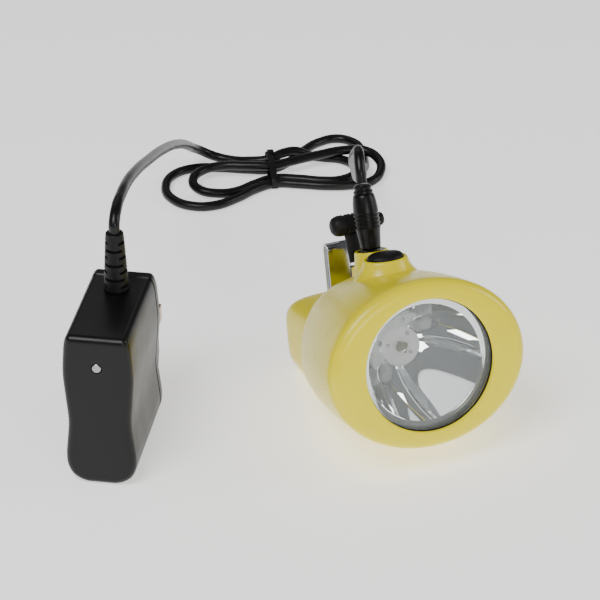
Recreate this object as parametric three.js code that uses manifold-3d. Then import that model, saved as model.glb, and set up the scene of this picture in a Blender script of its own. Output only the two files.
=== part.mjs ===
// A cordless miner's cap lamp on its wall charger. Millimetres, +Z up, the lamp shines towards -Y.
// The head is drawn in its own frame (x across, y back along the beam, z up from the beam axis), then
// tilted so that its flat foot lies on the ground. The row's origin is under the middle of the lamp.
import * as THREE from "three";
import { mergeVertices } from "three/addons/utils/BufferGeometryUtils.js";
import Module from "manifold-3d";

const wasm = await Module();
wasm.setup();

// ---- driving dimensions ----
const GAP = 0.3; // clearance between pieces that touch
const PITCH = THREE.MathUtils.degToRad(15.5); // the beam rises by this
const BEAM_HEIGHT = 38; // height of the beam axis at the front of the head
const WALL = 2.2; // housing wall

const FACE_HALF_WIDTH = 35.4; // oval front of the head
const FACE_HALF_HEIGHT = 29.3;
const FACE_ROUND = 3.6; // depth of the soft front edge
const BARREL_END = 52; // back face of the barrel
const BARREL_END_HALF_WIDTH = 27.4;
const BARREL_END_TOP = 20.3; // above the beam axis
const BARREL_END_MIDDLE = -7; // the egg-shaped end is widest below the axis
const BARREL_END_BOTTOM = 24.4;

const BOX_END = 78; // back face of the battery box
const BOX_HALF_WIDTH = 23.4;
const BOX_TOP = 9; // above the beam axis
const BOX_MIDDLE = -4;
const BOX_WALL = 1.8;
const BOX_BACK_WALL = 2.6;
const CELL_DOOR_HALF_WIDTH = BOX_HALF_WIDTH - 5.6; // opening between barrel and battery box
const CELL_DOOR_HALF_HEIGHT = 12.2;

const WINDOW_RADIUS = 23; // front opening
const LENS_RADIUS = 24.9;
const LENS_THICK = 1.8;
const SEAL_THICK = 0.7;
const SEAL_WIDTH = 2.3;
const LIP_THICK = 1;
const MIRROR_MOUTH = 20.4; // mouth radius of the reflector
const MIRROR_THROAT = 7;
const MIRROR_DEPTH = 21.6;
const MIRROR_WALL = 1.2;
const FLANGE_THICK = 1.2;
const SIDE_LED_RADIUS = 2.5;
const SIDE_LED_POCKET = 3.5;
const SIDE_LEDS = { upper: [7.3, 8.6], lower: [-8.9, -7] }; // x, z of the two auxiliary lights
const LED_BOARD_RADIUS = 15;
const LED_BOARD_THICK = 1.6;
const SINK_RADIUS = 12;
const SINK_THICK = 2;
const MAIN_LED = 3.5; // side of the square main light

const CELL = { halfWidth: BOX_HALF_WIDTH - 7.4, thick: 9.6, front: 32, back: BOX_END - 5, top: 5.3 };

const SWITCH_BACK = 33; // place of the switch along the beam
const SWITCH = { halfWidth: 6.5, halfLength: 4.9, top: 32, flange: 1, travel: 1.2 };

const SWITCH_RIM = { wall: 1.1, below: 1.8 }; // raised guard round the switch

const SOCKET = { back: 46, up: 30.2, lean: THREE.MathUtils.degToRad(7) };
const SOCKET_RADIUS = 4.7;
const SOCKET_DEEP = 21.2;
const SOCKET_BORE = 3.1;
const SOCKET_BORE_DEEP = 12;
const SOCKET_PIN = 1;
const BOSS_RADIUS = 5.9;
const PLUG_BARREL = { outer: 2.75, inner: 2.1, long: 9.5 };
const PLUG_LONG = 19.4;
const RELIEF_LONG = 3.2;

const CORD = 3.8; // cord diameter
const CORD_SIDES = 8;
const HOUSING_SIDES = 40;

const FOOT = { front: 30, halfWidth: 11, intoBarrel: 5 }; // flat the head stands on
const LUG = { left: -5.8, right: 0, intoBarrel: 6 }; // holds the dust plug's strap
const EDGE_EASE = 1.8; // rounding of the barrel's back edge

// The dust plug's strap: up the back of the barrel, then leaning back to the plug's head.
const STRAP = { x: -3, width: 5, thick: 1.6, low: 17.5, hinge: 24.6 };
const DUST_PLUG = { up: 37.3, back: 57.2 };
const DUST_HEAD = 3.7;
const STRAP_SCREW = { radius: 1, head: 2, headThick: 1.3, long: 4.3, up: 20.5 };

const CASE_SCREW = { x: BOX_HALF_WIDTH - 3.8, rows: [2, -9], radius: 1.1, head: 2.1, headThick: 1.4 };
const RIVET = { rows: [-6, 3], radius: 1.1, head: 2.2, headThick: 0.9 };
const CLIP = { halfWidth: 4.4, thick: 0.8, gap: 3.2, top: 25.2, low: -12, tail: -9 };

const CHARGER = { x: -108, y: 26.4, turn: THREE.MathUtils.degToRad(-30.3) };
const CHARGER_TALL = 57.5;
const CHARGER_DEEP = 41;
const CHARGER_WALL = 1.8;
const COVER_DEEP = 4.5;
const PIN_BLOCK = { deep: 7.5, halfWidth: 9.5, low: 13, high: 47 };
const BLADE = { x: 6.35, z: 27, wide: 6.3, thick: 1.5, long: 16 };
const INDICATOR = { radius: 1.6, down: 11.4, long: 5 };
const RELIEF = { back: 33, foot: 4.25, top: 3.05, long: 21.5, slots: 6 };

const HANK = { x: 21, y: 206, turn: THREE.MathUtils.degToRad(-12.6), halfLong: 46, half: 21, waist: 8.5 };
const HANK_LOW = 1.6;
const HANK_HIGH = 12;
const TIE_WIRE = 1.1;
const TIE_HALF_WIDTH = 1.2;

const DRIVER_BOARD = { halfWidth: CELL_DOOR_HALF_WIDTH - 3.8, front: 31.5, low: 6.6, thick: 1.6 };
const PROTECTION_BOARD = { halfWidth: CELL.halfWidth - 3.5, thick: 1, low: -12, high: 6.6 };
const LEAD_WIRE = { x: CELL.halfWidth - 5, diameter: 1.1, up: 6.2 };
const BATTERY_PAD = { halfWidth: LEAD_WIRE.x - 3, front: BARREL_END + 6, back: CELL.back - 1, top: 6.9 };
const MICRO_SWITCH = { half: 3, tall: 2.4, stem: 1.75, stemShows: 1.2 };
const SWITCH_BOARD = { halfWidth: 7, ahead: 4, behind: 5, thick: 1 };

const CHARGER_BOARD = { left: -6.8, thick: 1.6, front: 6, back: 35, low: 8, high: 49 };
const CORE = { left: -4.2, right: 7.8, front: 9, back: 24, lower: [12, 17], upper: [25, 30] };
const WINDING = { radius: 5.6, x: 1.8, y: 16.5 };
const CAPACITORS = [{ y: 17, z: 38, radius: 4, long: 11 }, { y: 30, z: 20, radius: 3.2, long: 10 }];
const COVER_SCREW = { radius: 1.1, head: 2, headThick: 1.2, long: 9, rows: [7.5, 51] };

// ---- solids ----
const vec2 = ([x, y]) => new THREE.Vector2(x, y);
const vec3 = ([x, y, z]) => new THREE.Vector3(x, y, z);

function signedVolume(geometry) {
  const p = geometry.getAttribute("position");
  const index = geometry.index.array;
  const [a, b, c] = [new THREE.Vector3(), new THREE.Vector3(), new THREE.Vector3()];
  let volume = 0;
  for (let i = 0; i < index.length; i += 3) {
    a.fromBufferAttribute(p, index[i]);
    b.fromBufferAttribute(p, index[i + 1]);
    c.fromBufferAttribute(p, index[i + 2]);
    volume += a.dot(b.cross(c)) / 6;
  }
  return volume;
}

// Shares the vertices, drops triangles that have closed up and turns the faces outwards.
function closed(geometry) {
  const bare = geometry.clone();
  bare.deleteAttribute("normal");
  bare.deleteAttribute("uv");
  const merged = mergeVertices(bare, 1e-3);
  const index = merged.index.array;
  const kept = [];
  for (let i = 0; i < index.length; i += 3) {
    const [a, b, c] = [index[i], index[i + 1], index[i + 2]];
    if (a !== b && b !== c && c !== a) kept.push(a, b, c);
  }
  merged.setIndex(kept);
  if (signedVolume(merged) < 0) merged.setIndex(kept.reverse());
  return merged;
}

function toManifold(geometry) {
  const solid = closed(geometry);
  const vertProperties = new Float32Array(solid.getAttribute("position").array);
  const triVerts = new Uint32Array(solid.index.array);
  return new wasm.Manifold(new wasm.Mesh({ numProp: 3, vertProperties, triVerts }));
}

function fromManifold(solid) {
  const mesh = solid.getMesh();
  const geometry = new THREE.BufferGeometry();
  geometry.setAttribute("position", new THREE.Float32BufferAttribute(mesh.vertProperties, 3));
  geometry.setIndex(Array.from(mesh.triVerts));
  return geometry;
}

function shape(base, { join = [], cut = [] }) {
  let solid = toManifold(base);
  for (const piece of join) solid = solid.add(toManifold(piece));
  for (const piece of cut) solid = solid.subtract(toManifold(piece));
  return fromManifold(solid);
}

// A solid of revolution about Z from (radius, height) pairs.
function turned(profile, sides = 24) {
  return closed(new THREE.LatheGeometry(profile.map(vec2), sides).rotateX(Math.PI / 2));
}

function ringOf(inner, outer, low, high, sides = 24) {
  return turned([[inner, low], [outer, low], [outer, high], [inner, high], [inner, low]], sides);
}

function rod(radius, low, high, sides = 20) {
  return turned([[0, low], [radius, low], [radius, high], [0, high]], sides);
}

// Stacks closed rows round Z: each row has a height and an outline from an angle to x and y.
function skin(rows, sides) {
  const geometry = new THREE.LatheGeometry(rows.map((_, i) => new THREE.Vector2(1, i)), sides);
  const position = geometry.getAttribute("position");
  for (let side = 0; side <= sides; side += 1) {
    const angle = (2 * Math.PI * (side % sides)) / sides;
    rows.forEach((row, i) => {
      const [x, y] = row.outline(angle);
      position.setXYZ(side * rows.length + i, x, y, row.at);
    });
  }
  return closed(geometry);
}

const power = (value, n) => Math.sign(value) * Math.abs(value) ** (2 / n);

// A rounded outline whose upper and lower halves may differ in height; y points down the head.
function oval({ half, up, down, square = 2, middle = 0 }, inset = 0) {
  return (angle) => {
    const rise = Math.sin(angle) > 0 ? up : down;
    const x = (half - inset) * power(Math.cos(angle), square);
    return [x, -(middle + (rise - inset) * power(Math.sin(angle), square))];
  };
}

const circle = (radius) => oval({ half: radius, up: radius, down: radius });
const alongBeam = (geometry) => geometry.rotateX(-Math.PI / 2);
const across = (geometry) => geometry.rotateY(Math.PI / 2);

function block(x, y, z) {
  const box = new THREE.BoxGeometry(x[1] - x[0], y[1] - y[0], z[1] - z[0]);
  return closed(box.translate((x[0] + x[1]) / 2, (y[0] + y[1]) / 2, (z[0] + z[1]) / 2));
}

function outlineOf(points) {
  return new THREE.Shape(points.map(vec2));
}

// Extrudes an outline drawn in y and z across x, from -half to half.
function acrossX(outline, half, curveSegments = 8) {
  const options = { depth: 2 * half, bevelEnabled: false, curveSegments };
  const slab = new THREE.ExtrudeGeometry(outline, options).translate(0, 0, -half);
  return closed(slab.rotateY(Math.PI / 2).rotateX(Math.PI / 2));
}

function wire(points, diameter, steps, sides = CORD_SIDES) {
  const section = new THREE.Shape();
  section.absarc(0, 0, diameter / 2, 0, 2 * Math.PI);
  const extrudePath = new THREE.CatmullRomCurve3(points.map(vec3));
  return closed(new THREE.ExtrudeGeometry(section, { steps, curveSegments: sides / 2, extrudePath }));
}

function finish(color, roughness, metalness = 0) {
  return () => new THREE.MeshStandardMaterial({ color, roughness, metalness });
}

const FINISH = {
  yellow: finish("#f2ea12", 0.25),
  blackRubber: finish("#1b1b1b", 0.7),
  blackPlastic: finish("#161616", 0.35),
  cordVinyl: finish("#141414", 0.4),
  clear: finish("#eef4f4", 0.05),
  chrome: finish("#d8d8d8", 0.06, 1),
  steel: finish("#b9bcc0", 0.15, 1),
  brass: finish("#c08a45", 0.3, 1),
  aluminium: finish("#b4b8ba", 0.45, 1),
  copper: finish("#b06a3a", 0.4, 1),
  circuit: finish("#1d5a33", 0.5),
  whiteBoard: finish("#eceae2", 0.45),
  phosphor: finish("#d8c840", 0.3),
  cellWrap: finish("#2b5aa0", 0.4),
  foam: finish("#3a3a3a", 0.9),
  redWire: finish("#b01818", 0.5),
  metalCan: finish("#a7a9ab", 0.3, 1),
};

const object = new THREE.Group();
const head = new THREE.Group();
const socketFrame = new THREE.Group();
const charger = new THREE.Group();
const ownPieces = [];

function piece(name, geometry, look, parent = head) {
  const mesh = new THREE.Mesh(geometry, look());
  mesh.name = name;
  parent.add(mesh);
  if (parent === head) ownPieces.push(mesh);
  return mesh;
}

// ---- places along the beam ----
const SEAL_FRONT = LIP_THICK + GAP;
const LENS_FRONT = SEAL_FRONT + SEAL_THICK + GAP;
const FLANGE_FRONT = LENS_FRONT + LENS_THICK + GAP;
const THROAT = FLANGE_FRONT + MIRROR_DEPTH;
const BOARD_FRONT = THROAT + GAP;
const SINK_FRONT = BOARD_FRONT + LED_BOARD_THICK + GAP;
const DRIVER_BACK = BARREL_END - WALL - 0.8; // clear of the barrel's end wall
const GROUND_DROP = BEAM_HEIGHT / Math.cos(PITCH);
const groundUnder = (back) => -GROUND_DROP + back * Math.tan(PITCH);

function barrelSection(back) {
  const s = (back - FACE_ROUND) / (BARREL_END - FACE_ROUND);
  const mix = THREE.MathUtils.lerp;
  const swell = 1.2 * 4 * s * (1 - s);
  return {
    half: mix(FACE_HALF_WIDTH, BARREL_END_HALF_WIDTH, s) + swell,
    up: mix(FACE_HALF_HEIGHT, BARREL_END_TOP - BARREL_END_MIDDLE, s) + swell,
    down: mix(FACE_HALF_HEIGHT, BARREL_END_BOTTOM + BARREL_END_MIDDLE, s) + swell / 3,
    square: mix(2, 2.4, s),
    middle: mix(0, BARREL_END_MIDDLE, s),
  };
}

// Height of the barrel's wall, or of its inner face, over a point.
function barrelTop(x, back, inset) {
  const { half, up, square, middle } = barrelSection(back);
  return middle + (up - inset) * (1 - (x / (half - inset)) ** square) ** (1 / square);
}

const BOOT_LIP = 0.7; // how far the switch's flange reaches under the wall
const flangeHalf = SWITCH.halfWidth + BOOT_LIP;
const flangeBack = SWITCH_BACK + SWITCH.halfLength + BOOT_LIP;
const BOOT_FLANGE_TOP = barrelTop(flangeHalf, flangeBack, WALL) - GAP;

// The micro switch's stem ends under the boot, with the boot's travel between them.
const STEM_TOP = BOOT_FLANGE_TOP - SWITCH.flange - SWITCH.travel - GAP;

function inSocket(geometry) {
  const place = new THREE.Matrix4().makeRotationX(-SOCKET.lean).setPosition(0, SOCKET.back, SOCKET.up);
  return geometry.applyMatrix4(place);
}

const cellDoor = {
  half: CELL_DOOR_HALF_WIDTH,
  up: CELL_DOOR_HALF_HEIGHT,
  down: CELL_DOOR_HALF_HEIGHT,
  square: 9,
  middle: BOX_MIDDLE,
};
const outlineRow = (at, outline) => ({ at, outline });
const point = () => [0, 0]; // closes a skin on its axis

function mainHousing() {
  const face = barrelSection(FACE_ROUND);
  const softEdge = [[4, 0.05], [2.2, 0.4], [0.9, 1.2], [0.25, 2.3], [0, FACE_ROUND]];
  const seat = LENS_RADIUS + GAP;
  const inner = BARREL_END - WALL;
  const row = outlineRow;
  const barrel = (at, inset) => row(at, oval(barrelSection(at), inset));
  const rows = [
    row(LIP_THICK, circle(WINDOW_RADIUS)),
    row(0.4, circle(WINDOW_RADIUS)),
    row(0, circle(WINDOW_RADIUS + 0.6)),
    ...softEdge.map(([inset, at]) => row(at, oval(face, inset))),
    ...[12, 22, 32, 41, BARREL_END - 3].map((at) => barrel(at, 0)),
    barrel(BARREL_END - 1, 0.5),
    row(BARREL_END, oval(barrelSection(BARREL_END), EDGE_EASE)),
    row(BARREL_END, oval(cellDoor)),
    row(inner, oval(cellDoor)),
    ...[inner, 40, 25, 12].map((at) => barrel(at, WALL)),
    barrel(FLANGE_FRONT + FLANGE_THICK + 3, WALL),
    row(FLANGE_FRONT + FLANGE_THICK + GAP, circle(seat)),
    row(LIP_THICK, circle(seat)),
    row(LIP_THICK, circle(WINDOW_RADIUS)),
  ];
  const shell = alongBeam(skin(rows, HOUSING_SIDES));
  return shape(shell, {
    join: [footBlock(), socketBoss(inner), switchRim(inner), strapLug()],
    cut: [
      inSocket(rod(SOCKET_RADIUS + GAP, -SOCKET_DEEP, 5, 28)),
      switchHole(),
      ...barrelScrewBores(inner),
    ],
  });
}

function footBlock() {
  const back = BARREL_END - 1;
  const outline = outlineOf([
    [FOOT.front, groundUnder(FOOT.front) + FOOT.intoBarrel],
    [FOOT.front, groundUnder(FOOT.front)],
    [back, groundUnder(back)],
    [back, groundUnder(back) + FOOT.intoBarrel],
  ]);
  return acrossX(outline, FOOT.halfWidth);
}

function strapLug() {
  const top = STRAP.hinge - 1;
  const low = BARREL_END_TOP - LUG.intoBarrel;
  return block([LUG.left, LUG.right], [BARREL_END - WALL, BARREL_END], [low, top]);
}

function barrelCavity(inner) {
  const front = 12;
  const back = inner - 0.01;
  const stations = [front, 25, 40, back].map((at) => outlineRow(at, oval(barrelSection(at), WALL)));
  return alongBeam(skin([outlineRow(front, point), ...stations, outlineRow(back, point)], HOUSING_SIDES));
}

// The raised collar round the socket, without what would stand inside the barrel.
function socketBoss(inner) {
  const boss = inSocket(rod(BOSS_RADIUS, -14, -GAP, 28));
  return shape(boss, { cut: [barrelCavity(inner)] });
}

function switchRim(inner) {
  const { wall, below } = SWITCH_RIM;
  const length = SWITCH.halfLength + GAP + wall;
  const rim = { half: SWITCH.halfWidth + GAP + wall, up: length, down: length };
  const [low, top] = [SWITCH.top - 14, SWITCH.top - below];
  const solid = skin([
    outlineRow(low, point), outlineRow(low, oval(rim)), outlineRow(top - 0.5, oval(rim)),
    outlineRow(top, oval(rim, 0.5)), outlineRow(top, point),
  ], 28);
  return shape(solid.translate(0, SWITCH_BACK, 0), { cut: [barrelCavity(inner)] });
}

function switchHole() {
  const length = SWITCH.halfLength + GAP;
  const outline = oval({ half: SWITCH.halfWidth + GAP, up: length, down: length });
  const [low, high] = [15, 40];
  const hole = skin([
    outlineRow(low, point), outlineRow(low, outline), outlineRow(high, outline), outlineRow(high, point),
  ], 28);
  return hole.translate(0, SWITCH_BACK, 0);
}

function barrelScrewBores(inner) {
  const bore = (radius, x, up) => {
    const hole = alongBeam(rod(radius + GAP, inner - 2, BARREL_END + 2, 12));
    return hole.translate(x, 0, up);
  };
  const cases = CASE_SCREW.rows.flatMap((up) => [
    bore(CASE_SCREW.radius, -CASE_SCREW.x, up),
    bore(CASE_SCREW.radius, CASE_SCREW.x, up),
  ]);
  return [...cases, bore(STRAP_SCREW.radius, STRAP.x, STRAP_SCREW.up)];
}

function boxSection(back) {
  return {
    half: BOX_HALF_WIDTH,
    up: BOX_TOP - BOX_MIDDLE,
    down: BOX_MIDDLE - groundUnder(back),
    square: 4.5,
    middle: BOX_MIDDLE,
  };
}

function rearHousing() {
  const front = BARREL_END + GAP;
  const row = (at, inset) => outlineRow(at, oval(boxSection(at), inset));
  const middle = (at) => outlineRow(at, () => [0, -BOX_MIDDLE]);
  const rebate = front + SEAL_THICK + GAP;
  const shell = alongBeam(skin([
    middle(BOX_END),
    row(BOX_END, 1.6),
    row(BOX_END - 0.5, 0.6),
    row(BOX_END - 1.8, 0),
    row(front + 10, 0),
    row(front, 0),
    row(front, 0.8),
    row(rebate, 0.8),
    row(rebate, BOX_WALL),
    row(BOX_END - BOX_BACK_WALL, BOX_WALL),
    middle(BOX_END - BOX_BACK_WALL),
  ], HOUSING_SIDES));
  const inside = BOX_END - BOX_BACK_WALL - 1;
  const bore = (radius, from, x, up) => {
    const hole = alongBeam(rod(radius, from, BOX_END + 2, 14));
    return hole.translate(x, 0, up);
  };
  const screws = CASE_SCREW.rows.flatMap((up) => [-1, 1].flatMap((side) => [
    bore(CASE_SCREW.radius + GAP, inside, side * CASE_SCREW.x, up),
    bore(CASE_SCREW.head + GAP, BOX_END - CASE_SCREW.headThick - GAP, side * CASE_SCREW.x, up),
  ]));
  const rivets = RIVET.rows.map((up) => bore(RIVET.radius + GAP, inside, 0, up));
  return shape(shell, { cut: [...screws, ...rivets] });
}

function housingSeal() {
  const at = BARREL_END + GAP;
  const row = (back, inset) => outlineRow(back, oval(boxSection(back), inset));
  const outer = 0.8 + GAP;
  const inner = BOX_WALL;
  return alongBeam(skin([
    row(at, inner), row(at, outer), row(at + SEAL_THICK, outer), row(at + SEAL_THICK, inner), row(at, inner),
  ], HOUSING_SIDES));
}

function mirrorRadius(back) {
  const bowl = (MIRROR_MOUTH ** 2 - MIRROR_THROAT ** 2) / MIRROR_DEPTH;
  return Math.sqrt(MIRROR_THROAT ** 2 + bowl * (THROAT - back));
}

function reflector() {
  const steps = [...Array(8).keys()].map((i) => FLANGE_FRONT + (MIRROR_DEPTH * i) / 7);
  const bowl = steps.map((back) => [mirrorRadius(back), back]);
  const outside = steps.slice(1).map((back) => [mirrorRadius(back) + MIRROR_WALL, back]).reverse();
  const back = FLANGE_FRONT + FLANGE_THICK;
  const rim = [[mirrorRadius(back) + MIRROR_WALL, back], [LENS_RADIUS, back], [LENS_RADIUS, FLANGE_FRONT]];
  const shell = alongBeam(turned([...bowl, ...outside, ...rim, bowl[0]], 36));
  const cavity = alongBeam(turned([[0, FLANGE_FRONT - 1], [MIRROR_MOUTH + 0.5, FLANGE_FRONT - 1], ...bowl,
    [MIRROR_THROAT, THROAT + 1], [0, THROAT + 1]], 36));
  const sleeves = Object.values(SIDE_LEDS).map(([x, z]) =>
    alongBeam(rod(SIDE_LED_POCKET + 0.8, 12, THROAT, 20)).translate(x, 0, z));
  const pockets = Object.values(SIDE_LEDS).map(([x, z]) =>
    alongBeam(rod(SIDE_LED_POCKET, 6, THROAT + 1, 20)).translate(x, 0, z));
  return shape(shell, { join: sleeves, cut: [cavity, ...pockets] });
}

function sideLed([x, z]) {
  const foot = BOARD_FRONT - GAP;
  const r = SIDE_LED_RADIUS;
  const profile = [[0, foot], [r + 0.4, foot], [r + 0.4, foot - 1], [r, foot - 1],
    [r, foot - 5.5], [r * 0.9, foot - 6.6], [r * 0.6, foot - 7.5], [0, foot - 8]];
  return alongBeam(turned(profile, 18)).translate(x, 0, z);
}

function mainLed() {
  const foot = BOARD_FRONT - GAP;
  const half = MAIN_LED / 2;
  const base = block([-half, half], [foot - 0.9, foot], [-half, half]).rotateY(Math.PI / 4);
  const dome = turned([[0, foot - 0.5], [1.9, foot - 0.5], [1.9, foot - 1],
    [1.5, foot - 1.8], [0.8, foot - 2.4], [0, foot - 2.6]], 20);
  return shape(base, { join: [alongBeam(dome)] });
}

function switchBoot() {
  const flangeTop = BOOT_FLANGE_TOP;
  const low = flangeTop - SWITCH.flange;
  const { halfWidth: half, halfLength: up, top } = SWITCH;
  const pad = (inset) => oval({ half, up, down: up }, inset);
  const row = outlineRow;
  const boot = skin([
    row(low, point), row(low, pad(-BOOT_LIP)), row(flangeTop, pad(-BOOT_LIP)), row(flangeTop, pad(0)),
    row(top - 1.6, pad(0)), row(top - 0.7, pad(0.5)), row(top - 0.15, pad(1.7)),
    row(top, pad(3.4)), row(top, point),
  ], 28);
  return boot.translate(0, SWITCH_BACK, 0);
}

function microSwitch() {
  const { half, tall, stem, stemShows } = MICRO_SWITCH;
  const body = block([-half, half], [SWITCH_BACK - half, SWITCH_BACK + half],
    [STEM_TOP - stemShows - tall, STEM_TOP - stemShows]);
  const plunger = rod(stem, STEM_TOP - stemShows - 0.8, STEM_TOP, 14).translate(0, SWITCH_BACK, 0);
  return shape(body, { join: [plunger] });
}

function switchBoard() {
  const { halfWidth, ahead, behind, thick } = SWITCH_BOARD;
  const top = STEM_TOP - MICRO_SWITCH.stemShows - MICRO_SWITCH.tall - GAP;
  return block([-halfWidth, halfWidth], [SWITCH_BACK - ahead, SWITCH_BACK + behind], [top - thick, top]);
}

function clipStrip() {
  const { thick, gap, top, low, tail } = CLIP;
  const front = BOX_END + GAP;
  const bend = gap / 2 + thick;
  const turn = front + bend;
  const strip = new THREE.Shape();
  strip.moveTo(front, low);
  strip.lineTo(front + thick, low);
  strip.lineTo(front + thick, top - bend);
  strip.absarc(turn, top - bend, gap / 2, Math.PI, 0, true);
  strip.lineTo(turn + gap / 2, tail + 5);
  strip.lineTo(turn + gap / 2 + 1.6, tail);
  strip.lineTo(turn + gap / 2 + 1.6 + thick, tail);
  strip.lineTo(turn + bend, tail + 5);
  strip.lineTo(turn + bend, top - bend);
  strip.absarc(turn, top - bend, bend, 0, Math.PI, false);
  const bores = RIVET.rows.map((up) => {
    const bore = alongBeam(rod(RIVET.radius + GAP, BOX_END - 1, front + thick + 1, 14));
    return bore.translate(0, 0, up);
  });
  return shape(acrossX(strip, CLIP.halfWidth, 8), { cut: bores });
}

function screw({ radius, head: headRadius, headThick }, headAt, long) {
  const top = headAt + headThick;
  const profile = [[0, headAt - long], [radius, headAt - long], [radius, headAt], [headRadius, headAt],
    [headRadius, headAt + headThick * 0.6], [headRadius * 0.7, top], [0, top]];
  return alongBeam(turned(profile, 14));
}

function strapAnchor() {
  const back = BARREL_END + GAP;
  const half = STRAP.width / 2;
  const root = STRAP.hinge - STRAP.thick / 2 - GAP;
  const tab = block([STRAP.x - half, STRAP.x + half], [back, back + STRAP.thick], [STRAP.low, root]);
  const bore = alongBeam(rod(STRAP_SCREW.radius + GAP, back - 1, back + STRAP.thick + 1, 14));
  return shape(tab, { cut: [bore.translate(STRAP.x, 0, STRAP_SCREW.up)] });
}

function dustPlug() {
  const middle = BARREL_END + GAP + STRAP.thick / 2;
  const half = STRAP.width / 2;
  const root = STRAP.thick / 2;
  const lean = Math.atan2(DUST_PLUG.back - middle, DUST_PLUG.up - STRAP.hinge);
  const long = Math.hypot(DUST_PLUG.back - middle, DUST_PLUG.up - STRAP.hinge);
  const side = new THREE.Shape();
  side.moveTo(-root, long);
  side.lineTo(-root, 0);
  side.absarc(0, 0, root, Math.PI, 2 * Math.PI, false);
  side.lineTo(root, long);
  const strap = acrossX(side, half, 6).rotateX(-lean).translate(STRAP.x, middle, STRAP.hinge);
  const r = DUST_HEAD;
  const groove = r - 0.4;
  const profile = [
    [0, -10], [r * 0.55, -9.7], [r * 0.9, -8.6], [r, -7],
    [r, -5.2], [groove, -5], [groove, -4.4], [r, -4.2],
    [r, -2.4], [groove, -2.2], [groove, -1.6], [r, -1.4],
    [r, 1], [r - 0.6, 1.6], [2.5, 1.6], [2.5, 8], [2, 9.4], [0, 9.8],
  ];
  const body = across(turned(profile, 20)).translate(0, DUST_PLUG.back, DUST_PLUG.up);
  return shape(strap, { join: [body] });
}

function leadWire(x) {
  const start = DRIVER_BACK + GAP;
  const { diameter, up } = LEAD_WIRE;
  const route = [[x, start, up + 0.8], [x, start + 3, up + 0.2], [x, 60, up], [x, CELL.back + GAP, up]];
  return wire(route, diameter, 8);
}

// ---- charging plug, in the socket's frame ----
function plugBody() {
  const grip = [];
  for (let i = 0; i < 4; i += 1) {
    const z = 7.5 + i * 1.4;
    grip.push([4.45, z], [4.45, z + 0.5], [4.2, z + 0.6], [4.2, z + 1.1]);
  }
  return turned([[0, 0], [3.3, 0], [3.5, 0.5], [3.9, 4], [4.25, 7], ...grip, [4.35, 14], [4.15, 16.6],
    [3.8, PLUG_LONG - 1], [3.6, PLUG_LONG], [0, PLUG_LONG]], 16);
}

function plugRelief() {
  const low = PLUG_LONG + GAP;
  return turned([
    [0, low], [3.4, low], [3.4, low + 1], [2.8, low + 1.1], [2.8, low + 1.6],
    [3.2, low + 1.7], [3.1, low + 2.6], [2.6, low + 2.7], [2.5, low + RELIEF_LONG], [0, low + RELIEF_LONG],
  ], 14);
}

// ---- wall charger, in its own frame: x across, y back, z up from the ground ----
// Half its outline: a round foot, a waist and a shoulder, as half-width and share of the height.
const CHARGER_SIDE = [
  [4, 0], [7.4, 0.015], [10.1, 0.05], [11.7, 0.11], [12, 0.18], [11.6, 0.26],
  [10.8, 0.41], [11.4, 0.57], [12, 0.73], [11.4, 0.88], [10.6, 0.98], [9.4, 1],
];

function chargerOutline(inset) {
  const reach = (value) => Math.max(value - inset, 1);
  const height = (z) => THREE.MathUtils.clamp(z, inset, CHARGER_TALL - inset);
  const right = CHARGER_SIDE.map(([x, share]) => [reach(x), height(share * CHARGER_TALL)]);
  const left = right.map(([x, z]) => [-x, z]).reverse();
  return outlineOf([...right, ...left]);
}

function chargerSlab(inset, from, to) {
  const options = { depth: to - from, bevelEnabled: false };
  const slab = new THREE.ExtrudeGeometry(chargerOutline(inset), options);
  return closed(slab.rotateX(Math.PI / 2).translate(0, to, 0));
}

function chargerCase() {
  const light = alongBeam(rod(INDICATOR.radius + GAP, -1, CHARGER_WALL + 1, 18));
  return shape(chargerSlab(0, 0, CHARGER_DEEP), {
    cut: [
      chargerSlab(CHARGER_WALL, CHARGER_WALL, CHARGER_DEEP + 1),
      light.translate(0, 0, CHARGER_TALL - INDICATOR.down),
      rod(3.3, CHARGER_TALL - 4, CHARGER_TALL + 2, 20).translate(0, RELIEF.back, 0),
    ],
  });
}

const COVER_FRONT = CHARGER_DEEP + GAP;
const COVER_BACK = COVER_FRONT + COVER_DEEP;
const BLOCK_FRONT = COVER_BACK + GAP;
const BLOCK_BACK = BLOCK_FRONT + PIN_BLOCK.deep;

function chargerCover() {
  const seat = COVER_BACK - COVER_SCREW.headThick - GAP;
  const bores = COVER_SCREW.rows.flatMap((z) => [
    alongBeam(rod(COVER_SCREW.radius + GAP, COVER_FRONT - 1, COVER_BACK + 1, 12)).translate(0, 0, z),
    alongBeam(rod(COVER_SCREW.head + GAP, seat, COVER_BACK + 1, 14)).translate(0, 0, z),
  ]);
  return shape(chargerSlab(0, COVER_FRONT, COVER_BACK), {
    cut: [chargerSlab(CHARGER_WALL, COVER_FRONT - 1, COVER_BACK - CHARGER_WALL), ...bores],
  });
}

function pinBlock() {
  const { halfWidth: w, low, high } = PIN_BLOCK;
  const side = outlineOf([[BLOCK_FRONT, low], [BLOCK_BACK - 2, low + 3], [BLOCK_BACK, low + 8],
    [BLOCK_BACK, high - 8], [BLOCK_BACK - 2, high - 3], [BLOCK_FRONT, high]]);
  return acrossX(side, w);
}

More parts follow.
